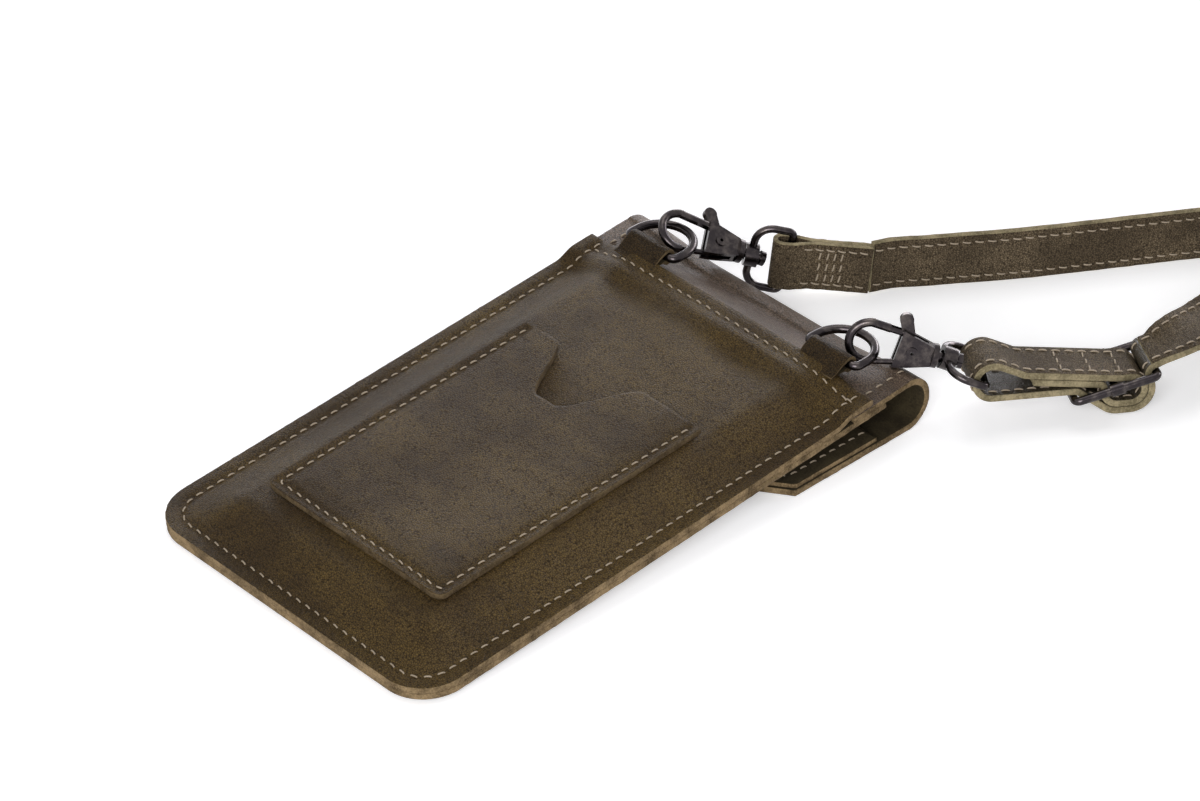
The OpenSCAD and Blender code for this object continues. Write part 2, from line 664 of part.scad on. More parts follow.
// The ring's bar lies a little askew in the loop
askew = strap_w / 2 * tan(near_heading - near_ring_lie.z);
loop_mid = [near_fold_r - swivel_wire / 2 - 2 * seat_gap - askew - slider_at, bar_v];
top_from = wrap_left + [0, wrap_r];
pinch_shares = [1.86, 0.48];
pinch = [loop_mid.x + pinch_shares.x * loop_r,
    top_from.y + pinch_shares.y * (loop_mid.y + loop_r - top_from.y)];
top_slope = (pinch.y - top_from.y) / (pinch.x - top_from.x);
leave = angle_of(pinch - loop_mid) + acos(loop_r / norm(pinch - loop_mid));
// The turned-back end lies under the top ply and bends down into the fold
function under_v(u) = top_from.y + top_slope * (u - top_from.x) - strap_t - ply_gap;
tuck_r = 0.8 * strap_t;
tuck_guess = wrap_left.x - wrap_r - tuck_r;
tuck = let (v = under_v(tuck_guess) - tuck_r, h = v - wrap_left.y)
    [wrap_left.x - sqrt(pow(wrap_r + tuck_r, 2) - h * h), v];
tuck_turn = angle_of(wrap_left - tuck);
near_route = concat(
    [[tuck.x - return_len, under_v(tuck.x - return_len)], [tuck.x - return_len / 2, under_v(tuck.x - return_len / 2)]],
    [for (k = [0:3]) arc(tuck, tuck_r, 90, tuck_turn, 4)[k]],
    arc(wrap_left, wrap_r, 180 + tuck_turn, 270, 6),
    arc(wrap_right, wrap_r, 270, 450, 12),
    [top_from, (top_from + pinch) / 2, pinch],
    arc(loop_mid, loop_r, leave, 270, 18),
    [[(loop_mid.x + left_bar.x) / 2, (loop_mid.y - loop_r + left_bar.y + over_r) / 2]],
    arc(left_bar, over_r, 96, dip, 4),
    arc(wrap_left, outer_r, dip + 180, 270, 4),
    arc(wrap_right, outer_r, 270, 360 + climb, 10),
    arc(right_bar, over_r, climb + 180, climb_end, 5));
near_run_from = near_route[len(near_route) - 1];

// Places children of the near end's frame, U, across and V
module at_near_end() {
    placed() translate(near_bar) rotate([-near_roll, 0, near_heading]) translate([slider_at, 0, -bar_v]) children();
}
// The same for a point, and for a direction
function near_dir(v) = let (y = v.y * cos(near_roll) + v.z * sin(near_roll),
        z = v.z * cos(near_roll) - v.y * sin(near_roll))
    [v.x * cos(near_heading) - y * sin(near_heading), v.x * sin(near_heading) + y * cos(near_heading), z];
function near_point(v) = near_bar + near_dir(v + [slider_at, 0, -bar_v]);

module strap_near_end() {
    color(c_strap) at_near_end() rotate([90, 0, 0]) translate([0, 0, -strap_w / 2]) linear_extrude(strap_w)
        ribbon(near_route, strap_t);
}

// Slider: a wire frame whose middle bar slides on the two long sides

module at_slider() {
    at_near_end() translate([middle_bar.x, 0, middle_bar.y]) rotate([0, -slider_rise, 0]) children();
}

frame_half = strap_w / 2 + 1.4 * strap_play + slider_wire / 2;
module slider_frame() {
    c = 0.7 * slider_wire;
    color(c_metal) at_slider() {
        wire([c - slider_half, -frame_half], [slider_half - c, -frame_half], slider_wire);
        for (k = [-1, 1]) scale([k, 1, 1]) {
            bend([slider_half - c, c - frame_half], c, slider_wire, 270, 90);
            wire([slider_half, c - frame_half], [slider_half, frame_half - c], slider_wire);
            bend([slider_half - c, frame_half - c], c, slider_wire, 0, 90);
        }
        wire([c - slider_half, frame_half], [slider_half - c, frame_half], slider_wire);
    }
}

module slider_bar() {
    collar_len = 1.6 * slider_wire;
    collar_r = slider_wire / 2 + fit_gap;
    wall = slider_wire * 0.2;
    color(c_metal) at_slider() {
        for (k = [-1, 1]) translate([-collar_len / 2, k * frame_half, 0]) rotate([0, 90, 0]) difference() {
            cylinder(h = collar_len, r = collar_r + wall, $fn = fine);
            translate([0, 0, -over]) cylinder(h = collar_len + 2 * over, r = collar_r, $fn = fine);
        }
        wire([0, collar_r + wall / 2 - frame_half], [0, frame_half - collar_r - wall / 2], slider_bar_d);
    }
}

// Free runs and the roll of the strap; the points of the runs are chosen by hand, x, y, z and lean

coil_at = [134, 310];
coil_in_r = 34;
coil_steps = 24;
coil_far_turn = 540;
coil_near_turn = 396;
far_entry = 144;
near_entry = 180;
function coil_point(entry, turn, a) = let (r = coil_in_r + 2 * coil_pitch * (turn - a) / 360, p = entry - a)
    [coil_at.x + r * cos(p), coil_at.y + r * sin(p), strap_up, 0];
function arm(entry, turn) = [for (k = [0:turn * coil_steps / 360]) coil_point(entry, turn, 360 * k / coil_steps)];
far_arm = arm(far_entry, coil_far_turn);
near_arm = arm(near_entry, coil_near_turn);
// The two arms meet in an S of two half circles
s_start = far_entry - coil_far_turn;
function s_half(sign, steps) = [for (k = [1:steps - 1]) let (a = 180 * k / steps)
    [coil_at.x + sign * coil_in_r / 2 * (cos(s_start) + cos(s_start - a)),
        coil_at.y + sign * coil_in_r / 2 * (sin(s_start) + sin(s_start - a)), strap_up, 0]];
s_steps = 9;
coil_route = concat(far_arm, s_half(1, s_steps), [[coil_at.x, coil_at.y, strap_up, 0]],
    [for (k = [s_steps - 2:-1:0]) s_half(-1, s_steps)[k]],
    [for (k = [len(near_arm) - 1:-1:0]) near_arm[k]]);
function flat_dir(a) = [cos(a), sin(a), 0];
coil_first = unit(places(coil_route)[1] - places(coil_route)[0]);
coil_last = unit(places(coil_route)[len(coil_route) - 1] - places(coil_route)[len(coil_route) - 2]);

// Where the far run leaves its sewn fold, on the side away from the turned-back ply
far_run_from = [far_bar.x, far_bar.y, 0] + (far_fold_len * cos(far_fall) + 8 * seat_gap) * flat_dir(far_heading)
    + fold_ply_share * strap_t / 2 * flat_dir(far_heading + 90);
far_run = concat([[far_run_from.x, far_run_from.y, far_up, 0]],
    [[4, 222.2, far_up - 0.3, 0], [9.2, 229.6, strap_up, 0], [15.1, 238, strap_up, 0],
    [22.1, 247.6, strap_up, 0], [28.8, 257.8, strap_up, 0], [35.4, 268.4, strap_up, 0],
    [41.9, 278.9, strap_up, 0], [48.3, 289.4, strap_up, 0], [54.4, 298.8, strap_up, 0],
    [60.8, 307.9, strap_up, 0], [67.6, 317, strap_up, 0], [74.6, 326, strap_up, 0],
    [81.5, 334.7, strap_up, 0]], [far_arm[0]]);
near_exit_dir = near_dir([cos(climb_end - 90), 0, sin(climb_end - 90)]);
near_exit = near_point([near_run_from.x, 0, near_run_from.y]) + 2 * seat_gap * near_exit_dir;
near_run = concat([[near_exit.x, near_exit.y, near_exit.z, -99]],
    [[88.7, 237.3, 15.5, -101], [89.6, 241, 16.6, -95], [90.1, 245, 17.1, -91], [90.2, 248.9, 17.1, -89],
        [90.1, 252.9, 16.6, -88], [89.8, 256.8, 15.8, -84], [89.2, 261.5, 14.4, -72], [88.3, 266.5, 12.8, -54],
        [87.2, 272, 11.2, -32], [86.2, 278, 9.4, -14], [85.4, 285, 8.3, -4], [84.9, 291, 8, 0],
        [84.5, 298, 8, 0]], [near_arm[0]]);

module strap_far_run() {
    color(c_strap) placed() strap(far_run, flat_dir(far_heading), coil_first);
}

module strap_near_run() {
    color(c_strap) placed() strap(near_run, near_exit_dir, -coil_last);
}

module strap_coil() {
    color(c_strap) placed() strap(coil_route, coil_first, coil_last);
}

// Least distance between the faces of neighbouring turns, measured on the points of the roll
coil_pts = places(coil_route);
apart = coil_steps / 3;
coil_gap = min([for (i = [0:len(coil_pts) - 1]) for (j = [0:len(coil_pts) - 1])
    if (abs(i - j) > apart) norm(coil_pts[i] - coil_pts[j])]) - strap_t;
echo(coil_gap = coil_gap, far_bar = far_bar, near_bar = near_bar, tilt = tilt, mid_y = mid_y);

// Magnetic snap: socket and magnet on the flap, stud on the front panel

snap_y = fold_y - flap_reach + snap_in;
socket_z = leather_t + lining_t;
stud_y = snap_y / cos(tilt) + socket_z * tan(tilt);
// Room between the lining and the tilted front panel, at the snap's lower edge
snap_room = (snap_y - snap_d / 2) * tan(tilt) - front_swell / cos(tilt) - socket_z;
socket_h = socket_share * snap_room;
stud_h = stud_share * snap_room;
// The panel's inner face rises towards the mouth, and the washer lies on its highest point
washer_rise = front_z(0, stud_y + snap_d / 2) + front_swell;

module snap_socket() {
    color(c_bright) placed() translate([0, snap_y, socket_z]) difference() {
        cylinder(h = socket_h, d = snap_d, $fn = fine);
        translate([0, 0, -over]) cylinder(h = 2 * over + socket_h, d = pin_d + 4 * soft_gap, $fn = fine);
        translate([0, 0, -over]) cylinder(h = over + socket_h / 2, d = snap_d * 0.8, $fn = fine);
    }
}

module snap_magnet() {
    color("#2c2b2d") placed() translate([0, snap_y, socket_z])
        cylinder(h = socket_h / 2 - seat_gap, d = snap_d * 0.8 - 2 * fit_gap, $fn = fine);
}

module snap_washer() {
    color(c_bright) placed() translate([0, snap_y, leather_t])
        cylinder(h = washer_t - fit_gap, d = snap_d - 2 * seat_gap, $fn = fine);
}

// The stud lies flat on the tilted front panel
module at_stud() {
    placed() rotate([tilt, 0, 0]) translate([0, stud_y, -front_swell]) children();
}

module snap_stud() {
    color(c_bright) at_stud() {
        translate([0, 0, -stud_h]) cylinder(h = stud_h - fit_gap, d = snap_d, $fn = fine);
        translate([0, 0, -stud_h - socket_h * 0.4]) cylinder(h = socket_h * 0.4 + fit_gap, d = pin_d, $fn = fine);
    }
}

module stud_washer() {
    color(c_bright) at_stud() translate([0, 0, leather_t + fit_gap + washer_rise])
        cylinder(h = washer_t, d = snap_d - 2 * seat_gap, $fn = fine);
}

back_panel();
front_panel();
flap_fold();
flap();
flap_lining();
card_pocket();
tab(-1);  // far_tab
tab(1);  // near_tab
d_ring(-1);  // far_d_ring
d_ring(1);  // near_d_ring
hook_body(far_rivet_at, far_hook_lie);  // far_hook
hook_trigger(far_rivet_at, far_hook_lie);  // far_trigger
hook_rivet(far_rivet_at, far_hook_lie);  // far_rivet
hook_spring(far_rivet_at, far_hook_lie);  // far_spring
swivel_ring(far_rivet_at, far_hook_lie, far_ring_lie);  // far_swivel_ring
hook_body(near_rivet_at, near_hook_lie);  // near_hook
hook_trigger(near_rivet_at, near_hook_lie);  // near_trigger
hook_rivet(near_rivet_at, near_hook_lie);  // near_rivet
hook_spring(near_rivet_at, near_hook_lie);  // near_spring
swivel_ring(near_rivet_at, near_hook_lie, near_ring_lie);  // near_swivel_ring
snap_socket();
snap_magnet();
snap_washer();
snap_stud();
stud_washer();
strap_far_end();
strap_near_end();
strap_far_run();
strap_near_run();
strap_coil();
slider_frame();
slider_bar();
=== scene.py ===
import math
import bpy
import numpy as np
from mathutils import Matrix, Vector


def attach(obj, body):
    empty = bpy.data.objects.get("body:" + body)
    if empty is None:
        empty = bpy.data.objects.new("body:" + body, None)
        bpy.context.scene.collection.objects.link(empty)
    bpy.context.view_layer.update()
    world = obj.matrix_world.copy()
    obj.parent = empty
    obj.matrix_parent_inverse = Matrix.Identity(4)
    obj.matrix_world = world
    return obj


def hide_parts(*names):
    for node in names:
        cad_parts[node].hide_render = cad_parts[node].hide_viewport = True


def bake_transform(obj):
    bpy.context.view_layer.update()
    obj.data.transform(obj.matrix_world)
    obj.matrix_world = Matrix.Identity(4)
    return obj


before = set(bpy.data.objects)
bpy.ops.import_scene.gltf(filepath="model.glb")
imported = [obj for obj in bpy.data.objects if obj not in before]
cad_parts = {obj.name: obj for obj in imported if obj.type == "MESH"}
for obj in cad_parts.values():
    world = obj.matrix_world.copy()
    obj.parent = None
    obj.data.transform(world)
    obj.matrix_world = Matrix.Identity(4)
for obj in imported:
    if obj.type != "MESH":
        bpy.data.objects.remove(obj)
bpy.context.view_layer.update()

# Studio: a white table under wide soft lights, seen from in front of the closed end and well above,
# through a long lens. The table and the room are white to the eye and in reflections.

camera = bpy.data.objects.new("camera", bpy.data.cameras.new("camera"))
bpy.context.collection.objects.link(camera)
camera.data.lens = 150
camera.data.clip_start, camera.data.clip_end = 0.05, 20
eye_right, eye_up = Vector((0.68789, 0.72581, 0.00354)), Vector((-0.42706, 0.4008, 0.81055))
camera.matrix_world = Matrix.Translation((0.786609, -0.728427, 0.797512)) @ Matrix(
    (eye_right, eye_up, eye_right.cross(eye_up))).transposed().to_4x4()
bpy.context.scene.camera = camera
bpy.context.scene.view_settings.view_transform = "Standard"


class Feed:
    """One output socket of a material, on which shader maths is written as sums and products."""

    def __init__(self, tree, socket=None):
        self.tree, self.socket = tree, socket

    def node(self, kind, settings=None, output=0, **inputs):
        made = self.tree.nodes.new(kind)
        for key, value in (settings or {}).items():
            setattr(made, key, value)
        for key, value in inputs.items():
            socket = made.inputs[int(key[1:]) if key[1:].isdigit() else key.replace("_", " ")]
            if isinstance(value, Feed):
                self.tree.links.new(value.socket, socket)
            else:
                socket.default_value = value
        return Feed(self.tree, made.outputs[output])

    def sum(self, operation, first, second):
        return self.node("ShaderNodeMath", {"operation": operation}, _0=first, _1=second)

    def __add__(self, other):
        return self.sum("ADD", self, other)

    def __sub__(self, other):
        return self.sum("SUBTRACT", self, other)

    def __rsub__(self, other):
        return self.sum("SUBTRACT", other, self)

    def __mul__(self, other):
        return self.sum("MULTIPLY", self, other)

    __radd__, __rmul__ = __add__, __mul__

    def spread(self, low, high):
        """Eases from 0 to 1 while the value goes from low to high."""
        return self.node("ShaderNodeMapRange", {"interpolation_type": "SMOOTHSTEP"}, Value=self,
                         From_Min=low, From_Max=high)

    def tint(self, first, second):
        """Mixes two colours, with this value as the share of the second."""
        full = [c if isinstance(c, Feed) else (*c, 1) for c in (first, second)]
        return self.node("ShaderNodeMix", {"data_type": "RGBA"}, 2, _0=self, _6=full[0], _7=full[1])


def finish_of(name):
    """A new material, with the start of its node tree and its shader."""
    made = bpy.data.materials.new(name)
    made.use_nodes = True
    return made, Feed(made.node_tree), made.node_tree.nodes["Principled BSDF"]


def feed(shader, **inputs):
    """Sets a shader's sockets, or links them where the value is an output of the material."""
    for key, value in inputs.items():
        socket = shader.inputs[key.replace("_", " ")]
        if isinstance(value, Feed):
            value.tree.links.new(value.socket, socket)
        else:
            socket.default_value = value


table_drop, room_glow = 0.0003, 0.16
table_stuff, paint, shader = finish_of("white_table")
feed(shader, Base_Color=(0.93, 0.93, 0.94, 1), Roughness=0.9, Specular_IOR_Level=0.1,
     Emission_Color=(1, 1, 1, 1), Emission_Strength=0.32)
corners = [(-6, -6, 0), (6, -6, 0), (6, 6, 0), (-6, 6, 0)]
table_mesh = bpy.data.meshes.new("table")
table_mesh.from_pydata(corners, [], [(0, 1, 2, 3)])
table_mesh.materials.append(table_stuff)
table = bpy.data.objects.new("table", table_mesh)
table.location.z = -table_drop
bpy.context.collection.objects.link(table)

room = bpy.data.worlds.new("room")
bpy.context.scene.world = room
room.use_nodes = True
air = Feed(room.node_tree)
seen = air.node("ShaderNodeLightPath", output="Is Camera Ray")
for ray in ("Is Glossy Ray", "Is Transmission Ray"):
    seen = air.sum("MAXIMUM", seen, air.node("ShaderNodeLightPath", output=ray))
back_light = room.node_tree.nodes["Background"]
bright = seen * (1 - room_glow) + room_glow
room.node_tree.links.new(bright.socket, back_light.inputs["Strength"])
back_light.inputs["Color"].default_value = (1, 1, 1, 1)

for name, place, size, power, tone in (
        ("ceiling", (-0.5, 0.5, 2.1), (1.4, 1.4), 13, (1, 0.995, 0.985)),
        ("front", (1.0, -1.5, 1.0), (1.2, 1.2), 42, (0.985, 0.985, 1)),
        ("backdrop", (-1.3, 1.5, 0.3), (2.4, 0.4), 18, (0.98, 0.96, 1)),
        ("side_card", (0.2, 2.0, 0.55), (1.8, 0.5), 26, (0.98, 0.96, 1))):
    lamp = bpy.data.objects.new(name, bpy.data.lights.new(name, "AREA"))
    lamp.data.shape, lamp.data.energy, lamp.data.color = "RECTANGLE", power, tone
    lamp.data.size, lamp.data.size_y = size
    lamp.location = place
    lamp.rotation_euler = (Vector((0, 0.03, 0)) - Vector(place)).to_track_quat("-Z", "Y").to_euler()
    bpy.context.collection.objects.link(lamp)

# Body of the pouch: two panels of oiled leather with raw edges, sewn together near the edge. The back
# panel, on top, stands out a little to make room for the phone, and so does the front panel.

pouch_w, back_len, front_over, leather_t = 108.8, 162, 5, 1.9
corner_r, seam_in, back_swell, front_swell, slope_w = 13, 5, 5, 3, 15
fold_out, fold_r, fold_sag, flap_tail = 13.6, 8.3, 3.3, 7
mouth_share, mouth_run_share, sag_share, seam_inset = 0.6, 0.14, 0.46, 4.6
half_pouch, stack_t, fold_y = pouch_w / 2, 2 * leather_t, back_len + fold_out
tilt = 2 * math.atan((math.sqrt(fold_y ** 2 + stack_t * (2 * fold_r - stack_t)) - fold_y) / stack_t)
mid_y = (fold_y + fold_r - stack_t * math.sin(tilt)) / 2
bend_y = fold_y * math.cos(tilt) + fold_r * math.sin(tilt)
mm, skin_gap = 0.001, 0.02


def ease(u):
    """A smooth step, from 0 to 1."""
    c = np.clip(u, 0, 1)
    return c * c * (3 - 2 * c)


def swell(x, y):
    """Share of a panel's swell: none at its seams, all of it in the middle, less towards the mouth."""
    return ease((half_pouch - seam_in - np.abs(x)) / slope_w) * ease((y - seam_in) / slope_w) * (
        1 - (1 - mouth_share) * ease((y - back_len * (1 - mouth_run_share)) / (back_len * mouth_run_share)))


def sag(x):
    """How far the fold's outer face lies in from where it is at its two sides."""
    return ease((half_pouch - seam_in - np.abs(x)) / (half_pouch * sag_share)) * fold_sag


def fold_z(x, y):
    """Height of the flap's outer face, from under the back panel to the bend."""
    rise = back_swell * swell(x, y) * (1 - ease((y - back_len) / (fold_y - back_len)))
    return stack_t + rise - sag(x) * ease((y - back_len) / (bend_y - back_len))


def back_z(x, y):
    """Height of the back panel's outer face, which steps up over the flap's sewn edge."""
    return stack_t + back_swell * swell(x, y) + leather_t * ease((y - (back_len - 2 * flap_tail)) / flap_tail)


def front_z(x, y):
    """Height of the front panel's outer face, which the table keeps from standing out further."""
    return -np.minimum(front_swell * swell(x, y), np.maximum(0, y) * math.tan(tilt))


def half_at(y):
    """Half the pouch's width, with its round corners at the closed end."""
    d = np.clip(corner_r - y, 0, corner_r)
    return half_pouch - corner_r + np.sqrt(corner_r ** 2 - d ** 2)


def tilted(x, y, z):
    """A point of the tilted pouch in the table's frame, from arrays of one shape."""
    c, s = math.cos(tilt), math.sin(tilt)
    x, y, z = np.broadcast_arrays(x, y, z)
    return np.stack([x, y * c - z * s, y * s + z * c], -1)


def piece(name, points, faces, stuffs, which=None, body="pouch"):
    """A smooth mesh from points in millimetres, pouch frame, that rides on a body."""
    mesh = bpy.data.meshes.new(name)
    points = (np.asarray(points, float).reshape(-1, 3) - (0, mid_y, 0)) * mm
    mesh.from_pydata(points.tolist(), [], [list(map(int, f)) for f in faces])
    for stuff in stuffs:
        mesh.materials.append(stuff)
    if which is not None:
        mesh.polygons.foreach_set("material_index", np.asarray(which, np.int32))
    mesh.polygons.foreach_set("use_smooth", np.ones(len(mesh.polygons), bool))
    mesh.validate()
    mesh.update()
    made = bpy.data.objects.new(name, mesh)
    bpy.context.collection.objects.link(made)
    if body:
        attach(made, body)
    return made


def hide(tops, unders, crown=0.22, fuzz_size=0.07):
    """Points, faces and material numbers of leather between two grids, with a crowned, fuzzy raw edge."""
    rows, cols = tops.shape[:2]
    n = rows * cols
    ids = np.arange(n).reshape(rows, cols)
    a, b, c, d = ids[:-1, :-1].ravel(), ids[:-1, 1:].ravel(), ids[1:, 1:].ravel(), ids[1:, :-1].ravel()
    faces = [np.stack([a, b, c, d], 1), np.stack([a, d, c, b], 1) + n]
    which = [np.zeros(len(a)), np.ones(len(a))]
    loop = np.concatenate([ids[0, :-1], ids[:-1, -1], ids[-1, :0:-1], ids[:0:-1, 0]])
    inner = np.pad(ids[1:-1, 1:-1], 1, mode="edge").ravel()[loop]
    flat_t, flat_u = tops.reshape(-1, 3), unders.reshape(-1, 3)
    out = flat_t[loop] - flat_t[inner]
    out /= np.linalg.norm(out, axis=1)[:, None] + 1e-9
    rim, m = [flat_t, flat_u], len(loop)
    fuzz = np.random.default_rng(rows * cols).normal(0, fuzz_size, (4, m, 1))
    rings, edge_shape = [loop], ((0.08, 0.62), (0.3, 0.95), (0.7, 0.95), (0.92, 0.62))
    for k, (share, rise) in enumerate(edge_shape):
        rim.append(flat_t[loop] * (1 - share) + flat_u[loop] * share + out * (crown * rise + fuzz[k]))
        rings.append(2 * n + k * m + np.arange(m))
    rings.append(loop + n)
    for r, s in zip(rings, rings[1:]):
        faces.append(np.stack([r, s, np.roll(s, -1), np.roll(r, -1)], 1))
        which.append(np.full(m, 2))
    return np.concatenate(rim), np.concatenate(faces), np.concatenate(which)


def oiled_leather(name, light, dark, gloss=0.38, scale=1.0, shine=0.07):
    """Leather in clouds of two browns, with a fine grain of cells, pores and creases."""
    made, paint, shader = finish_of(name)
    spot = paint.node("ShaderNodeTexCoord", output="Object")
    clouds = paint.node("ShaderNodeTexNoise", Vector=spot, Scale=28.0 * scale, Detail=4.0, Roughness=0.55)
    haze = paint.node("ShaderNodeTexNoise", Vector=spot, Scale=150.0, Detail=6.0, Roughness=0.65)
    cells = paint.node("ShaderNodeTexVoronoi", {"feature": "DISTANCE_TO_EDGE"}, Vector=spot, Scale=1600.0,
                       Randomness=0.9)
    pores = paint.node("ShaderNodeTexNoise", Vector=spot, Scale=1500.0, Detail=3.0)
    creases = paint.node("ShaderNodeTexNoise", Vector=spot, Scale=320.0, Detail=5.0, Roughness=0.7,
                         Distortion=1.4)
    grain = cells.spread(0.0, 0.28)
    worn = (clouds * 0.66 + haze * 0.34).spread(0.38, 0.62)
    colour = worn.tint(dark, light)
    hollows = (1 - grain) * 0.72 + (1 - pores.spread(0.38, 0.6)) * 0.3
    colour = hollows.tint(colour, tuple(v * 0.25 for v in dark))
    height = grain * 0.6 + pores * 0.45 + creases * 0.9 + haze * 1.2
    bumps = paint.node("ShaderNodeBump", Height=height, Strength=0.75, Distance=0.00028)
    rough = (worn * -0.06 + grain * -0.05 + haze * 0.16) + gloss
    feed(shader, Base_Color=colour, Roughness=rough, Normal=bumps, Specular_IOR_Level=shine)
    return made


def cut_edge(name, light, dark):
    """The rough fibres of a cut edge, or of the leather's inner side."""
    made, paint, shader = finish_of(name)
    spot = paint.node("ShaderNodeTexCoord", output="Object")
    fluff = paint.node("ShaderNodeTexNoise", Vector=spot, Scale=1500.0, Detail=6.0, Roughness=0.8)
    patch = paint.node("ShaderNodeTexNoise", Vector=spot, Scale=190.0, Detail=4.0, Roughness=0.6)
    colour = (fluff * 0.6 + patch * 0.5).spread(0.4, 0.7).tint(dark, light)
    bumps = paint.node("ShaderNodeBump", Height=fluff + patch * 0.6, Strength=0.9, Distance=0.0005)
    feed(shader, Base_Color=colour, Roughness=0.92, Normal=bumps, Specular_IOR_Level=0.15)
    return made


grain_side = oiled_leather("oiled_leather", (0.12, 0.077, 0.025), (0.057, 0.035, 0.014))
raw_edge = cut_edge("raw_edge", (0.29, 0.205, 0.108), (0.06, 0.039, 0.018))
# The darker cut edge of the pocket and the tabs is painted shade, where these edges lie close on the leather
# under them.
shaded_edge = cut_edge("shaded_cut_edge", (0.14, 0.098, 0.05), (0.04, 0.026, 0.012))
flesh_side = cut_edge("flesh_side", (0.052, 0.04, 0.02), (0.022, 0.016, 0.008))


def close_at_ends(inner, end_steps, steps):
    """Shares from -1 to 1, closer together beyond the inner share, where leather bends at its edges."""
    return np.concatenate([np.linspace(-1, -inner, end_steps)[:-1], np.linspace(-inner, inner, steps),
                           np.linspace(inner, 1, end_steps)[1:]])


cols = close_at_ends(0.82, 20, 60)
round_rows = corner_r * (1 - np.cos(np.linspace(0, math.pi / 2, 22)))[:-1]


def seam_path(inset, last):
    """Points along the seam: up one side, round the closed end and up the other, from the mouth."""
    r = corner_r - inset
    turn = [(half_pouch - corner_r + r * math.cos(a), corner_r - r * math.sin(a))
            for a in np.linspace(0, math.pi / 2, 13)]
    one_side = [(half_pouch - inset, last)] + turn
    return one_side + [(-x, y) for x, y in one_side[::-1]]


def dent(x, y, path, depth, width):
    """How far leather is drawn down beside a line of stitches."""
    path = np.asarray(path, float)
    a, b = path[:-1], path[1:]
    v = b - a
    near = np.full(x.shape, np.inf)
    for p, q in zip(a, v):
        t = np.clip(((x - p[0]) * q[0] + (y - p[1]) * q[1]) / (q @ q), 0, 1)
        near = np.minimum(near, np.hypot(x - p[0] - t * q[0], y - p[1] - t * q[1]))
    return -depth * np.exp(-(near / width) ** 2)


seam_dent, seam_width, top_seam_in = 0.42, 1.5, 4.2
back_seam = seam_path(seam_inset, back_len - 0.6)
top_seam = [(side * (half_pouch - seam_inset), back_len - top_seam_in) for side in (1, -1)]
leather_hollows = ((18, 147, 11, 0.9), (-26, 150, 13, 0.8), (36, 120, 9, 0.35), (-40, 60, 10, 0.3))


def back_face(x, y):
    """Height of the back panel's outer face, with its drawn-in seams and slight hollows."""
    z = back_z(x, y) + dent(x, y, back_seam, seam_dent, seam_width) + dent(x, y, top_seam, 0.4, seam_width)
    z = z + 0.35 * np.sin(x * 0.075 + 1.1) * np.sin(y * 0.052 + 0.4) * swell(x, y)
    for u, v, wide, deep in leather_hollows:
        z = z - deep * np.exp(-((x - u) / wide) ** 2 - ((y - v) / (wide * 0.6)) ** 2)
    return z


rows = np.concatenate([round_rows, np.linspace(corner_r, back_len, 130)])
y = np.repeat(rows[:, None], len(cols), 1)
x = half_at(y) * cols
points, faces, which = hide(tilted(x, y, back_face(x, y)), tilted(x, y, back_z(x, y) - leather_t + skin_gap))
back_panel = piece("back_panel_leather", points, faces, [grain_side, flesh_side, raw_edge], which)
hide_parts("back_panel")

rows = np.concatenate([round_rows, np.linspace(corner_r, back_len + front_over, 110)])
y = np.repeat(rows[:, None], len(cols), 1)
x = half_at(y) * cols
points, faces, which = hide(tilted(x, y, front_z(x, y) + leather_t - skin_gap), tilted(x, y, front_z(x, y)))
front_panel = piece("front_panel_leather", points, faces, [flesh_side, grain_side, raw_edge], which)
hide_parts("front_panel")

# Thread: waxed and pale beige, about half a millimetre thick. Each stitch is a short slanting arch that
# dips into its holes. The seams of the body are sewn here, and the other pieces' lines with them.

thread, paint, shader = finish_of("waxed_thread")
spot = paint.node("ShaderNodeTexCoord", output="Object")
twist = paint.node("ShaderNodeTexWave", {"bands_direction": "DIAGONAL"}, Vector=spot, Scale=900.0,
                   Distortion=2.0)
shade = paint.node("ShaderNodeTexNoise", Vector=spot, Scale=420.0)
feed(shader, Roughness=0.7,
     Base_Color=(twist * 0.35 + shade * 0.5).tint((0.4, 0.33, 0.24), (0.17, 0.13, 0.09)))


def distances(line):
    """How far along a line each of its points is."""
    return np.concatenate([[0], np.cumsum(np.linalg.norm(np.diff(line, axis=0), axis=1))])


def stitches(name, lines, pitch=3.6, long=2.0, thick=0.48, slant=0.35, lift=0.06, body="pouch"):
    """Sewn lines in one mesh. A line is a list of points on the leather, each with its outward direction."""
    shape, sides = ((-0.5, -0.42), (-0.4, -0.02), (-0.18, 0.3), (0.18, 0.3), (0.4, -0.02), (0.5, -0.42)), 6
    points, faces = [], []
    for spots, outs in lines:
        spots, outs = np.asarray(spots, float), np.asarray(outs, float)
        run = distances(spots)
        count = max(1, int(run[-1] / pitch))
        for k in range(count):
            mid = (k + 0.5) * run[-1] / count
            at = [mid + long * s for s, _ in shape]
            p = np.stack([np.interp(at, run, spots[:, i]) for i in range(3)], 1)
            u = np.stack([np.interp(at, run, outs[:, i]) for i in range(3)], 1)
            u /= np.linalg.norm(u, axis=1)[:, None]
            t = p[-1] - p[0]
            t /= np.linalg.norm(t)
            side = np.cross(t, u[2])
            for i, (s, h) in enumerate(shape):
                centre = p[i] + u[i] * (h * thick + lift) + side * slant * thick * 2 * s
                for j in range(sides):
                    a = 2 * math.pi * j / sides
                    points.append(centre + thick / 2 * (math.cos(a) * side + math.sin(a) * u[i]))
            first = len(points) - len(shape) * sides
            for i in range(len(shape) - 1):
                for j in range(sides):
                    p0, p1 = first + i * sides + j, first + i * sides + (j + 1) % sides
                    faces.append((p0, p0 + sides, p1 + sides, p1))
    return piece(name, points, faces, [thread], body=body)


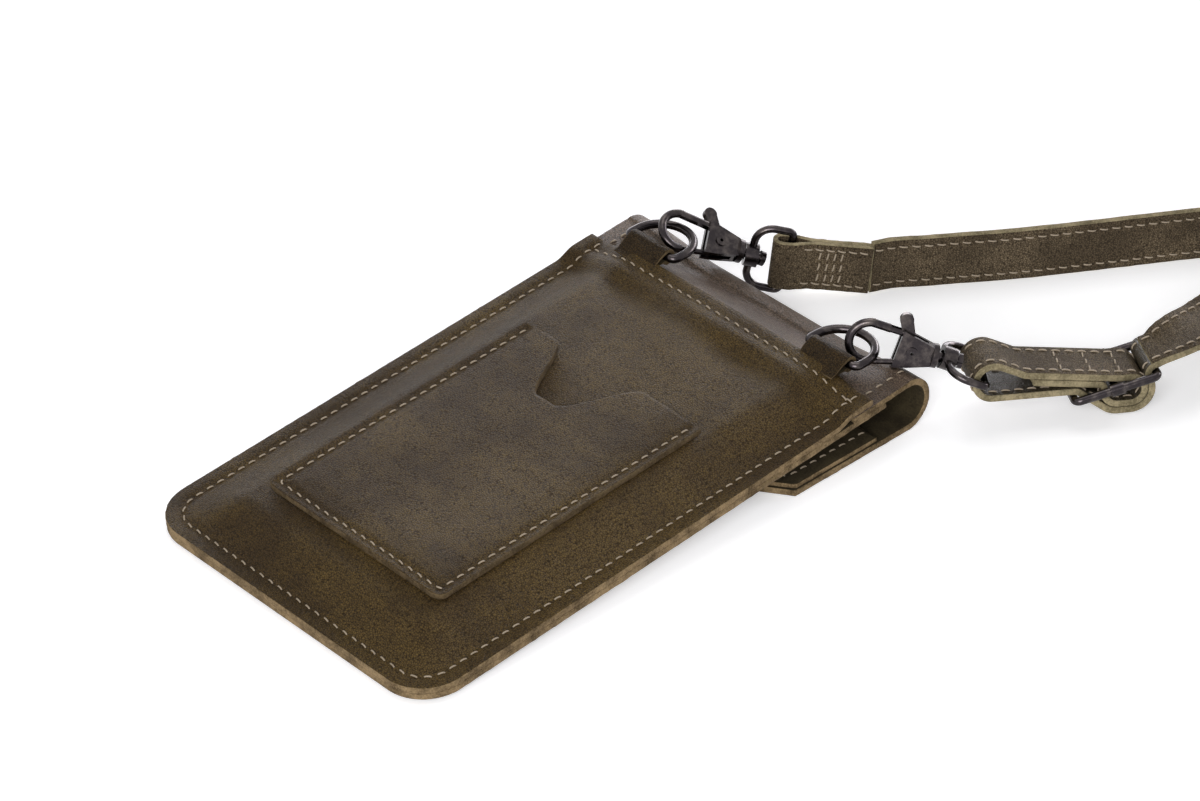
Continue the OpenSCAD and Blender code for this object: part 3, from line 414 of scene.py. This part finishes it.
def on_face(path, face, step=1.2):
    """Points on a face of the tilted pouch along a path seen from above, with outward directions."""
    path = np.asarray(path, float)
    run = distances(path)
    at = np.linspace(0, run[-1], max(2, int(run[-1] / step)))
    x, y = np.interp(at, run, path[:, 0]), np.interp(at, run, path[:, 1])
    d = 0.4
    gx = (face(x + d, y) - face(x - d, y)) / (2 * d)
    gy = (face(x, y + d) - face(x, y - d)) / (2 * d)
    out = np.stack([-gx, -gy, np.ones_like(gx)], -1)
    c, s = math.cos(tilt), math.sin(tilt)
    out = np.stack([out[:, 0], out[:, 1] * c - out[:, 2] * s, out[:, 1] * s + out[:, 2] * c], -1)
    return tilted(x, y, face(x, y)), out


corner_tack = [(half_pouch - 6.5, back_len - 4.4), (half_pouch - 3, back_len - 4)]
stitches("back_seam_stitches", [on_face(path, back_face) for path in (back_seam, top_seam, corner_tack)])

# Card pocket: one piece of the same leather, laid on the back panel and sewn down on three sides. Its
# mouth is left open, with a rounded notch for the thumb.

pocket_w, pocket_len, pocket_from, pocket_t, pocket_r = 68, 93, 25, 1.8, 3
notch_w, notch_d, notch_off, notch_floor, notch_spread = 33, 20, 4.5, 0.2, 1.06
pocket_inset, pocket_lift, pocket_dent, pocket_dent_w = 2.6, 0.1, 0.4, 1.4
seam_x, seam_top = pocket_w / 2 - pocket_inset, pocket_from + pocket_len - 1.5
pocket_seam = [(seam_x, seam_top), (seam_x, pocket_from + pocket_inset),
               (-seam_x, pocket_from + pocket_inset), (-seam_x, seam_top)]


def pocket_face(x, y):
    """Height of the pocket's outer face, drawn down at its seam and a little uneven."""
    z = back_z(x, y) + pocket_lift + pocket_t + dent(x, y, pocket_seam, pocket_dent, pocket_dent_w)
    edge = np.minimum(pocket_w / 2 - np.abs(x), y - pocket_from)
    return z + 0.35 * ease((edge - 3) / 8) + 0.2 * np.sin(x * 0.1 + 0.5) * np.sin(y * 0.07)


def mouth_at(x):
    """Where the pocket's top edge runs, with the notch."""
    floor_half = notch_w / 2 * notch_floor
    run = notch_w / 2 * notch_spread - floor_half
    return pocket_from + pocket_len - notch_d * (1 - ease((np.abs(x + notch_off) - floor_half) / run))


u = close_at_ends(0.86, 10, 80)
v = np.concatenate([np.linspace(0, 0.09, 14)[:-1], np.linspace(0.09, 1, 84)])
y = pocket_from + np.repeat(v[:, None], len(u), 1) * pocket_len
d = np.clip(pocket_r - (y - pocket_from), 0, pocket_r)
x = u * (pocket_w / 2 - pocket_r + np.sqrt(pocket_r ** 2 - d ** 2))
y = pocket_from + (y - pocket_from) * (mouth_at(x) - pocket_from) / pocket_len
points, faces, which = hide(tilted(x, y, pocket_face(x, y)), tilted(x, y, back_z(x, y) + pocket_lift))
pocket = piece("card_pocket_leather", points, faces, [grain_side, flesh_side, shaded_edge], which)
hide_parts("card_pocket")
stitches("pocket_stitches", [on_face(pocket_seam, pocket_face)])

# Flap: one piece of leather that is sewn under the back panel's top edge, rolls over the end and lies
# under the pouch. Its free part has a lining sewn in, and its corners are cut off.

flap_reach, flap_cut_w, flap_cut_len, lining_t, lining_from = 58, 22, 15, 1.3, 11.5
flap_end = fold_y - flap_reach
cut_from, fold_in, bend_in, fold_squeeze = flap_end + flap_cut_len, 0.42, 0.15, 0.82


def flap_skin(depth):
    """Grid of one face of the flap, as deep under its outer face as said, along its whole length."""
    u = close_at_ends(0.84, 14, 50)
    x = half_pouch * u
    rows = [tilted(x, y, fold_z(x, y) - fold_in - depth * fold_squeeze)
            for y in np.linspace(back_len - flap_tail, bend_y, 22)]
    for a in np.linspace(math.pi / 2 + tilt, 0, 18)[1:]:
        rows.append(np.stack([x, np.full_like(x, fold_y + (fold_r - depth - bend_in) * math.cos(a)),
                              fold_r + (fold_r - depth - bend_in - sag(x)) * math.sin(a)], -1))
    for a in np.linspace(0, -math.pi / 2, 18)[1:]:
        r = fold_r - depth - bend_in * (1 + math.sin(a))
        rows.append(np.stack([x, np.full_like(x, fold_y + r * math.cos(a)),
                              np.full_like(x, fold_r + r * math.sin(a))], -1))
    for y in np.concatenate([np.linspace(fold_y, cut_from, 26)[1:], np.linspace(cut_from, flap_end, 10)[1:]]):
        half = half_pouch - flap_cut_w * max(0, 1 - (y - flap_end) / flap_cut_len)
        rows.append(np.stack([half * u, np.full_like(x, y), np.full_like(x, depth)], -1))
    return np.array(rows)


# The flap's leather is a lighter, greyer copy of the body's: painted sheen, the reflection that lies along
# the fold.
fold_sheen_leather = oiled_leather("fold_sheen_leather", (0.19, 0.134, 0.094), (0.102, 0.07, 0.048), gloss=0.36,
                             shine=0.16)
points, faces, which = hide(flap_skin(0), flap_skin(leather_t))
flap = piece("flap_leather", points, faces, [fold_sheen_leather, flesh_side, raw_edge], which, body=None)
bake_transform(flap)
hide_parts("flap_fold", "flap")

lined, lining_in = [], 0.6
for depth in (leather_t + lining_t, leather_t + skin_gap):
    u = np.linspace(-1, 1, 70)
    rows = []
    for y in np.concatenate([np.linspace(fold_y - lining_from, cut_from, 30),
                             np.linspace(cut_from, flap_end + lining_in, 10)[1:]]):
        half = half_pouch - lining_in - flap_cut_w * max(0, 1 - (y - flap_end - lining_in) / flap_cut_len)
        rows.append(np.stack([half * u, np.full_like(u, y), np.full_like(u, depth)], -1))
    lined.append(np.array(rows[::-1]))
points, faces, which = hide(lined[0], lined[1], crown=0.15)
lining = piece("flap_lining_leather", points, faces, [flesh_side, flesh_side, raw_edge], which,
               body="flap")
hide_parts("flap_lining")


def flap_line(inset, z, y_from):
    """A seam line round the flap's free edge, on its inner side."""
    edge = [(half_pouch - inset, y_from), (half_pouch - inset, cut_from + 0.4 * inset),
            (half_pouch - flap_cut_w - 0.5 * inset, flap_end + inset)]
    path = np.array(edge + [(-x, y) for x, y in edge[::-1]])
    run = distances(path)
    at = np.linspace(0, run[-1], 160)
    spots = np.stack([np.interp(at, run, path[:, 0]), np.interp(at, run, path[:, 1]), np.full(160, z)], -1)
    return spots, np.tile((0, 0, 1.0), (160, 1))


stitches("lining_stitches", [flap_line(seam_inset, leather_t + lining_t, fold_y - lining_from)], body="flap")
fold_lines, fold_seam_in = [], 4.8
for side in (-1, 1):
    y = np.linspace(back_len + 1.5, fold_y + 4, 16)
    x = np.full_like(y, side * (half_pouch - fold_seam_in))
    spots = tilted(x, y, fold_z(x, y) - fold_in)
    fold_lines.append((spots, np.tile((0, 0, 1.0), (16, 1))))
stitches("fold_stitches", fold_lines, pitch=3.4)

# Tabs: two narrow strips of leather. Each is rolled round a D-ring's bar, and both its tails are caught
# under the back panel in the top seam.

# The tabs' leather is a darker copy of the body's: painted shade.
tab_shade_leather = oiled_leather("tab_shade_leather", (0.058, 0.036, 0.014), (0.026, 0.016, 0.007), gloss=0.34,
                            shine=0.06)
tab_x, tab_w, tab_t, tab_out, tab_tail, ring_wire = 35, 14, 1.5, 4.3, 5, 2.5
ring_gap, tail_gap, roll_gap, roll_from, roll_to = 0.05, 0.1, 0.2, math.radians(118), math.radians(-150)
roll_r = ring_wire / 2 + ring_gap + tab_t
roll_y = back_len + tab_out
tail_z = float(fold_z(tab_x - tab_w / 2, back_len - tab_tail)) + tail_gap
roll_z = max(float(fold_z(tab_x - tab_w / 2, roll_y)), float(fold_z(tab_x, roll_y))) + roll_gap + roll_r
for side, name in ((-1, "far_tab"), (1, "near_tab")):
    grids = []
    for r, thin in ((ring_wire / 2 + 1.1, 0.95), (ring_wire / 2 + 0.12, 0.55)):
        ring = [(roll_y + r * math.cos(a), roll_z + r * math.sin(a))
                for a in np.linspace(roll_from, roll_to, 26)]
        line = [(back_len - 3, tail_z + thin), (back_len - 1.2, tail_z + thin + 0.2),
                ((back_len + ring[0][0]) / 2 - 0.5, (tail_z + thin + ring[0][1]) / 2 + 0.4)] + ring
        line += [((back_len + ring[-1][0]) / 2, (tail_z + ring[-1][1]) / 2 + thin / 3),
                 (back_len - 2.5, tail_z + thin / 3)]
        x = side * tab_x + np.linspace(-tab_w / 2, tab_w / 2, 16)
        grids.append(np.array([tilted(x, np.full_like(x, p), np.full_like(x, q)) for p, q in line]))
    points, faces, which = hide(grids[0], grids[1], crown=0.1)
    tab = piece(name + "_leather", points, faces, [tab_shade_leather, flesh_side, shaded_edge], which)
    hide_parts(name)

# Metal: bent steel wire and cast zinc with a dark nickel plate, a little worn where it rubs. The snap
# between flap and front panel is bright nickel, with a black magnet. All are the CAD solids themselves.

plate, paint, shader = finish_of("dark_nickel")
spot = paint.node("ShaderNodeTexCoord", output="Object")
rubbed = paint.node("ShaderNodeTexNoise", Vector=spot, Scale=260.0, Detail=5.0, Roughness=0.7)
pits = paint.node("ShaderNodeTexNoise", Vector=spot, Scale=1800.0, Detail=3.0)
bumps = paint.node("ShaderNodeBump", Height=pits, Strength=0.12, Distance=0.0001)
feed(shader, Base_Color=rubbed.spread(0.42, 0.72).tint((0.036, 0.031, 0.033), (0.1, 0.086, 0.08)),
     Metallic=1.0, Roughness=rubbed * 0.14 + 0.16, Normal=bumps)
shiny, paint, shader = finish_of("bright_nickel")
spot = paint.node("ShaderNodeTexCoord", output="Object")
haze = paint.node("ShaderNodeTexNoise", Vector=spot, Scale=500.0, Detail=4.0)
feed(shader, Base_Color=haze.spread(0.3, 0.7).tint((0.36, 0.34, 0.31), (0.5, 0.48, 0.45)), Metallic=1.0,
     Roughness=haze * 0.15 + 0.15)
black, paint, shader = finish_of("black_coating")
spot = paint.node("ShaderNodeTexCoord", output="Object")
haze = paint.node("ShaderNodeTexNoise", Vector=spot, Scale=700.0, Detail=4.0)
feed(shader, Base_Color=haze.tint((0.02, 0.02, 0.02), (0.045, 0.042, 0.04)), Roughness=0.45)

clip_parts = ("d_ring", "hook", "trigger", "swivel_ring", "rivet", "spring")
finishes = {f"{side}_{part}": plate for side in ("far", "near") for part in clip_parts}
finishes.update(slider_frame=plate, slider_bar=plate, snap_magnet=black)
finishes.update(dict.fromkeys(("snap_socket", "snap_washer", "snap_stud", "stud_washer"), shiny))
for node, stuff in finishes.items():
    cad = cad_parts[node]
    for slot in cad.material_slots:
        slot.material = stuff
    if not cad.material_slots:
        cad.data.materials.append(stuff)

# Strap: two layers of the same leather, 16 mm wide, sewn along both edges and left raw there.
# Its near end goes round the ring's bar, through the slider and back, and is sewn to itself.

# The strap's leather is a lighter copy of the body's: painted sheen on the strap's faces.
strap_leather = oiled_leather("strap_leather", (0.175, 0.132, 0.082), (0.092, 0.068, 0.042), gloss=0.46,
                              scale=1.6, shine=0.04)
strap_edge = cut_edge("strap_edge", (0.36, 0.3, 0.18), (0.12, 0.1, 0.055))
strap_w, strap_t, seat = 16, 1.9, 0.1
swivel_wire, slider_wire, slider_bar_d = 2.2, 2.4, 2.2


def lie(roll, drop, heading):
    """Axes of a piece that is rolled, dropped and turned by these degrees."""
    a, b, c = (math.radians(v) for v in (roll, drop, heading))
    return np.array(Matrix.Rotation(c, 3, "Z") @ Matrix.Rotation(b, 3, "Y") @ Matrix.Rotation(a, 3, "X"))


def bar_of(rivet, hook, ring, barrel_x=10.2, ring_depth=10.2):
    """Middle of a swivel ring's bar, from the place of its hook's rivet and how hook and ring lie."""
    return np.array(rivet) + barrel_x * lie(*hook)[:, 0] + ring_depth * lie(*ring)[:, 0]


far_rivet, far_hook_lie, far_ring_lie = (-27.2, 183.8, 16.9), (27, 24.5, 52), (90, 12, 46)
near_rivet, near_hook_lie, near_ring_lie = (48.4, 182.2, 20.3), (76, 14, 46), (-8, 22, 47)
far_bar = bar_of(far_rivet, far_hook_lie, far_ring_lie)
near_bar = bar_of(near_rivet, near_hook_lie, near_ring_lie)

near_end_turn, slider_at = 56, 35.2
near_heading, near_roll = math.radians(near_end_turn), math.radians(-near_ring_lie[0])
near_axes = np.array(Matrix.Rotation(near_heading, 3, "Z") @ Matrix.Rotation(-near_roll, 3, "X"))
bar_v = (near_bar[2] - strap_w / 2 * math.sin(near_roll)) / math.cos(near_roll)


def near_point(u, across, v):
    """A point of the near end: along the strap from the slider's bar, across it, and up."""
    return near_bar + near_axes @ np.array([u + slider_at, across, v - bar_v])


def arc(centre, r, start, stop, steps):
    """Points round a centre, from one angle to another in degrees."""
    return [(centre[0] + r * math.cos(math.radians(a)), centre[1] + r * math.sin(math.radians(a)))
            for a in np.linspace(start, stop, steps + 1)]


near_fold_r, wrap_in, wrap_run, return_len, ply_gap = 3.9, 2.9, 3.6, 18, 0.15
loop_r, wrap_r = near_fold_r + strap_t / 2, wrap_in + strap_t / 2
over_r = slider_wire / 2 + 2 * seat + strap_t / 2
outer_r = wrap_r + strap_t + ply_gap
bar_off, wrap_v = wrap_in - slider_bar_d / 2 - 0.05, outer_r + strap_t / 2
bar_in_wrap, slider_pitch = math.radians(115), math.radians(14)
middle_bar = np.array([0, wrap_v + bar_off * math.sin(bar_in_wrap)])
wrap_left = np.array([-bar_off * math.cos(bar_in_wrap), wrap_v])
wrap_right = wrap_left + (wrap_run, 0)
slider_dir = np.array([math.cos(slider_pitch), math.sin(slider_pitch)])
lead = (middle_bar - wrap_right) @ slider_dir
bar_gap = 1.01 * (outer_r + over_r)
slider_half = math.sqrt(bar_gap ** 2 + lead ** 2 - ((middle_bar - wrap_right) ** 2).sum()) - lead
right_bar, left_bar = middle_bar + slider_half * slider_dir, middle_bar - slider_half * slider_dir


def angle(v):
    """Which way an arrow points, in degrees."""
    return math.degrees(math.atan2(v[1], v[0]))


to_left, to_right = wrap_left - left_bar, right_bar - wrap_right
dip = angle(to_left) + math.degrees(math.acos((over_r + outer_r) / np.linalg.norm(to_left)))
climb = angle(to_right) - math.degrees(math.acos((over_r + outer_r) / np.linalg.norm(to_right)))
over_start, climb_end = 96, 118
askew = strap_w / 2 * math.tan(math.radians(near_end_turn - near_ring_lie[2]))
loop_mid = np.array([near_fold_r - swivel_wire / 2 - 2 * seat - askew - slider_at, bar_v])
top_from = wrap_left + (0, wrap_r)
pinch_run, pinch_rise = 1.86, 0.48
pinch = np.array([loop_mid[0] + pinch_run * loop_r,
                  top_from[1] + pinch_rise * (loop_mid[1] + loop_r - top_from[1])])
top_slope = (pinch[1] - top_from[1]) / (pinch[0] - top_from[0])
leave = angle(pinch - loop_mid) + math.degrees(math.acos(loop_r / np.linalg.norm(pinch - loop_mid)))


def under_v(u):
    """Height of the ply that comes back under the top one."""
    return top_from[1] + top_slope * (u - top_from[0]) - strap_t - ply_gap


tuck_r = 0.8 * strap_t
tuck_v = under_v(wrap_left[0] - wrap_r - tuck_r) - tuck_r
tuck = np.array([wrap_left[0] - math.sqrt((wrap_r + tuck_r) ** 2 - (tuck_v - wrap_left[1]) ** 2), tuck_v])
tuck_turn = angle(wrap_left - tuck)
near_line = [(tuck[0] - k * return_len / 6, under_v(tuck[0] - k * return_len / 6)) for k in range(6, 0, -1)]
near_line += arc(tuck, tuck_r, 90, tuck_turn, 4)[:-1] + arc(wrap_left, wrap_r, 180 + tuck_turn, 270, 6)
near_line += arc(wrap_right, wrap_r, 270, 450, 14)
near_line += [tuple(top_from + (pinch - top_from) * k / 8) for k in range(9)]
near_line += arc(loop_mid, loop_r, leave, 270, 26)
loop_foot, bar_top = loop_mid - (0, loop_r), left_bar + (0, over_r)
near_line += [tuple(loop_foot * (1 - k) + bar_top * k) for k in (0.2, 0.4, 0.6, 0.8)]
near_line += arc(left_bar, over_r, over_start, dip, 4) + arc(wrap_left, outer_r, dip + 180, 270, 6)
near_line += arc(wrap_right, outer_r, 270, 360 + climb, 14)
near_line += arc(right_bar, over_r, climb + 180, climb_end, 6)
near_line = np.array([near_line[0]] + [q for p, q in zip(near_line, near_line[1:]) if math.dist(p, q) > 0.02])


def headings(line):
    """Unit vectors along a line, one at each of its points."""
    d = np.gradient(line, axis=0)
    return d / np.linalg.norm(d, axis=1)[:, None]


along = headings(near_line)
turned = np.stack([-along[:, 1], along[:, 0]], 1)


def near_grid(offset):
    """Grid of one face of the near end, this far from its middle line."""
    w = np.linspace(-1, 1, 13) * strap_w / 2
    line = near_line + turned * offset
    return np.array([[near_point(u, a, v) for a in w] for u, v in line])


points, faces, which = hide(near_grid(strap_t / 2)[:, ::-1], near_grid(-strap_t / 2)[:, ::-1], crown=0.25)
# A darker copy of the strap leather, on the near end's upper faces: painted shade.
shaded_strap = oiled_leather("shaded_strap", (0.085, 0.066, 0.034), (0.045, 0.034, 0.018), gloss=0.3, scale=1.6,
                           shine=0.3)
near_end = piece("strap_near_end_leather", points, faces, [shaded_strap, strap_leather, strap_edge], which)
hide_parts("strap_near_end")

near_sewn, sew_w, sewn_rows = [], 5.8, (-14.4, -6.3, 1.8)
for k, w in ((1, sew_w), (1, -sew_w), (-1, sew_w), (-1, -sew_w)):
    spots = np.array([near_point(u, w, v) for u, v in near_line + turned * k * strap_t / 2])
    outs = np.array([near_axes @ np.array([a * k, 0, b * k]) for a, b in turned])
    near_sewn.append((spots, outs))
for u in sewn_rows:
    top = top_from[1] + top_slope * min(0, u - top_from[0]) + strap_t / 2
    line = [near_point(u, w, top) for w in np.linspace(-sew_w, sew_w, 8)]
    near_sewn.append((line, [near_axes[:, 2]] * 8))
stitches("near_end_stitches", near_sewn, long=2.4)

# Far end: the strap goes round the ring's bar, stands on its edge, and is sewn back on itself with
# four close rows across, like a tack. Both its layers are pared, so that the fold isn't thick.

far_fold_len, far_heading, ring_drop = 23, math.radians(far_ring_lie[2]), math.radians(far_ring_lie[1])
pared, slot_seats, end_rise, merge_plies, far_step, far_edges = 0.72, 3.5, 0.2, 2.6, 1.4, (-7.6, 7.4)
slot_r, slot_lean = swivel_wire / 2 + slot_seats * seat, strap_w / 2 * math.tan(ring_drop)
ply = pared * strap_t
far_up = strap_w / 2 + end_rise * (far_bar[2] - strap_w / 2)
far_fall = math.asin((far_bar[2] - far_up) / far_fold_len)
far_axes = np.array(Matrix.Rotation(far_heading, 3, "Z") @ Matrix.Rotation(far_fall, 3, "Y"))
merge = merge_plies * strap_t + slot_lean


def far_point(along, out, up):
    """A point of the far end: along it from the ring's bar, out from its middle, and up."""
    return far_bar + far_axes @ np.array([along, out, up])


def far_half(side):
    """Outer face of one layer of the fold, seen from above, from its sewn end to round the bar."""
    r, flat = slot_r + ply, side * (ply + skin_gap)
    line = [(far_fold_len + 0.7, flat), (far_fold_len * 0.6, flat), (merge, flat), (slot_lean, side * r)]
    return line + [(-slot_lean + r * math.cos(a), side * r * math.sin(a))
                   for a in np.linspace(math.pi / 2, math.pi, 9)]


bends = np.array(far_half(-1) + far_half(1)[::-1][1:])
outer = []
for p, q in zip(bends, bends[1:]):
    steps = max(1, int(math.dist(p, q) / far_step))
    outer += [p + (q - p) * k / steps for k in range(steps)]
outer = np.array(outer + [bends[-1]])
ahead = headings(outer)
inner = outer + np.stack([ahead[:, 1], -ahead[:, 0]], 1) * ply * 0.98
grids = [np.array([[far_point(p, q, w) for w in np.linspace(*far_edges, 13)] for p, q in line])
         for line in (outer, inner)]
points, faces, which = hide(grids[0], grids[1])
far_end = piece("strap_far_end_leather", points, faces, [strap_leather, strap_leather, strap_edge], which)
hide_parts("strap_far_end")

far_sewn, edge_w, tack_w, tack_rows = [], 5.7, 5.4, (14, 11.8, 9.8, 7.8)
for side in (-1, 1):
    normal = far_axes @ np.array([0, side, 0])
    for w in (-edge_w, edge_w):
        line = [far_point(p, side * np.interp(p, (slot_lean, merge), (slot_r + ply, ply + skin_gap)), w)
                for p in np.linspace(merge - 2.6, far_fold_len - 0.3, 16)]
        far_sewn.append((line, [normal] * 16))
    for back in tack_rows:
        line = [far_point(far_fold_len - back, side * (ply + skin_gap), w)
                for w in np.linspace(-tack_w, tack_w, 8)]
        far_sewn.append((line, [normal] * 8))
stitches("far_end_stitches", far_sewn, pitch=3.0, long=2.3)

# Free strap: from the far end it runs along the table on its edge, into a flat roll that lies beside
# the pouch, and back to the slider, where it arches over the bar. This part is about 1.06 m long.

coil_at, coil_in_r, coil_pitch, strap_up = (134, 310), 34, 7.5, strap_w / 2
far_entry, far_turn, near_entry, near_turn, coil_step = 144, 540, 180, 396, 15


def coil_point(entry, turn, a):
    """A point of one arm of the flat roll, after so many degrees of its turn, seen from above."""
    r, p = coil_in_r + 2 * coil_pitch * (turn - a) / 360, math.radians(entry - a)
    return coil_at[0] + r * math.cos(p), coil_at[1] + r * math.sin(p), strap_up, 0


far_arm = [coil_point(far_entry, far_turn, coil_step * k) for k in range(far_turn // coil_step + 1)]
near_arm = [coil_point(near_entry, near_turn, coil_step * k) for k in range(near_turn // coil_step + 1)]


def half_turn(sign, k):
    """A point of the half circles that join the two arms in the middle of the roll."""
    start, a = math.radians(far_entry - far_turn), math.radians(20 * k)
    return (coil_at[0] + sign * coil_in_r / 2 * (math.cos(start) + math.cos(start - a)),
            coil_at[1] + sign * coil_in_r / 2 * (math.sin(start) + math.sin(start - a)), strap_up, 0)


run_gap, exit_gap = 0.8, 0.2
far_exit = far_bar[:2] + (far_fold_len * math.cos(far_fall) + run_gap) * far_axes[:2, 0] / math.cos(far_fall)
far_exit = far_exit + ply / 2 * np.array([-math.sin(far_heading), math.cos(far_heading)])
far_run = [(*far_exit, far_up, 0), (4, 222.2, far_up - 0.3, 0), (9.2, 229.6, 8, 0), (15.1, 238, 8, 0),
           (22.1, 247.6, 8, 0), (28.8, 257.8, 8, 0), (35.4, 268.4, 8, 0), (41.9, 278.9, 8, 0),
           (48.3, 289.4, 8, 0), (54.4, 298.8, 8, 0), (60.8, 307.9, 8, 0), (67.6, 317, 8, 0),
           (74.6, 326, 8, 0), (81.5, 334.7, 8, 0)]
exit_turn = math.radians(climb_end - 90)
exit_dir = near_axes @ np.array([math.cos(exit_turn), 0, math.sin(exit_turn)])
near_exit = near_point(near_line[-1][0], 0, near_line[-1][1]) + exit_gap * exit_dir
near_run = [(*near_exit, -99), (88.7, 237.3, 15.5, -101), (89.6, 241, 16.6, -95), (90.1, 245, 17.1, -91),
            (90.2, 248.9, 17.1, -89), (90.1, 252.9, 16.6, -88), (89.8, 256.8, 15.8, -84),
            (89.2, 261.5, 14.4, -72), (88.3, 266.5, 12.8, -54), (87.2, 272, 11.2, -32), (86.2, 278, 9.4, -14),
            (85.4, 285, 8.3, -4), (84.9, 291, 8, 0), (84.5, 298, 8, 0)]
route = far_run + far_arm + [half_turn(1, k) for k in range(1, 9)] + [(*coil_at, strap_up, 0)]
route += [half_turn(-1, k) for k in range(8, 0, -1)] + near_arm[::-1] + near_run[::-1]
route = np.array(route, float)

# A cubic through the route's points makes it smooth, and eases the leans, the fourth value, with it.
knots = distances(route[:, :3])
smooth = []
for k in range(len(route) - 1):
    p0, p1, p2, p3 = (route[min(max(j, 0), len(route) - 1)] for j in (k - 1, k, k + 1, k + 2))
    t0, t1, t2, t3 = (knots[min(max(j, 0), len(route) - 1)] for j in (k - 1, k, k + 1, k + 2))
    m1 = (p2 - p0) / max(t2 - t0, 1e-6) * (t2 - t1)
    m2 = (p3 - p1) / max(t3 - t1, 1e-6) * (t2 - t1)
    steps = 4 if t2 - t1 > 3 else 2
    for u in np.arange(steps) / steps:
        smooth.append((2 * u ** 3 - 3 * u ** 2 + 1) * p1 + (u ** 3 - 2 * u ** 2 + u) * m1
                      + (3 * u ** 2 - 2 * u ** 3) * p2 + (u ** 3 - u ** 2) * m2)
smooth.append(route[-1])
smooth = np.array(smooth)
centre = smooth[:, :3]
tangent = headings(centre)
tangent[-1] = -exit_dir
side = np.cross(tangent, (0, 0, 1))
side /= np.linalg.norm(side, axis=1)[:, None]
upward = np.cross(side, tangent)
lean = np.radians(smooth[:, 3])
# The near run's leans are told from the slider's end, so they turn the other way here.
lean = np.where(np.arange(len(smooth)) > len(smooth) * 0.5, -lean, lean)[:, None]
wide = np.cos(lean) * upward + np.sin(lean) * side
thick = np.cross(wide, tangent)
steps = np.linspace(-1, 1, 11)[None, :, None] * strap_w / 2
tops = centre[:, None] + wide[:, None] * steps + thick[:, None] * strap_t / 2
unders = centre[:, None] + wide[:, None] * steps - thick[:, None] * strap_t / 2
points, faces, which = hide(tops, unders)
free_strap = piece("strap_leather_run", points, faces, [strap_leather, strap_leather, strap_edge], which)
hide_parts("strap_far_run", "strap_near_run", "strap_coil")
sewn = []
for w in (-edge_w, edge_w):
    for k in (-1, 1):
        sewn.append((centre + wide * w + thick * k * strap_t / 2, thick * k))
strap_thread = stitches("strap_stitches", sewn, long=2.4)
centre_m = (centre - (0, mid_y, 0)) * mm
strap_length = float(np.linalg.norm(np.diff(centre_m, axis=0), axis=1).sum())
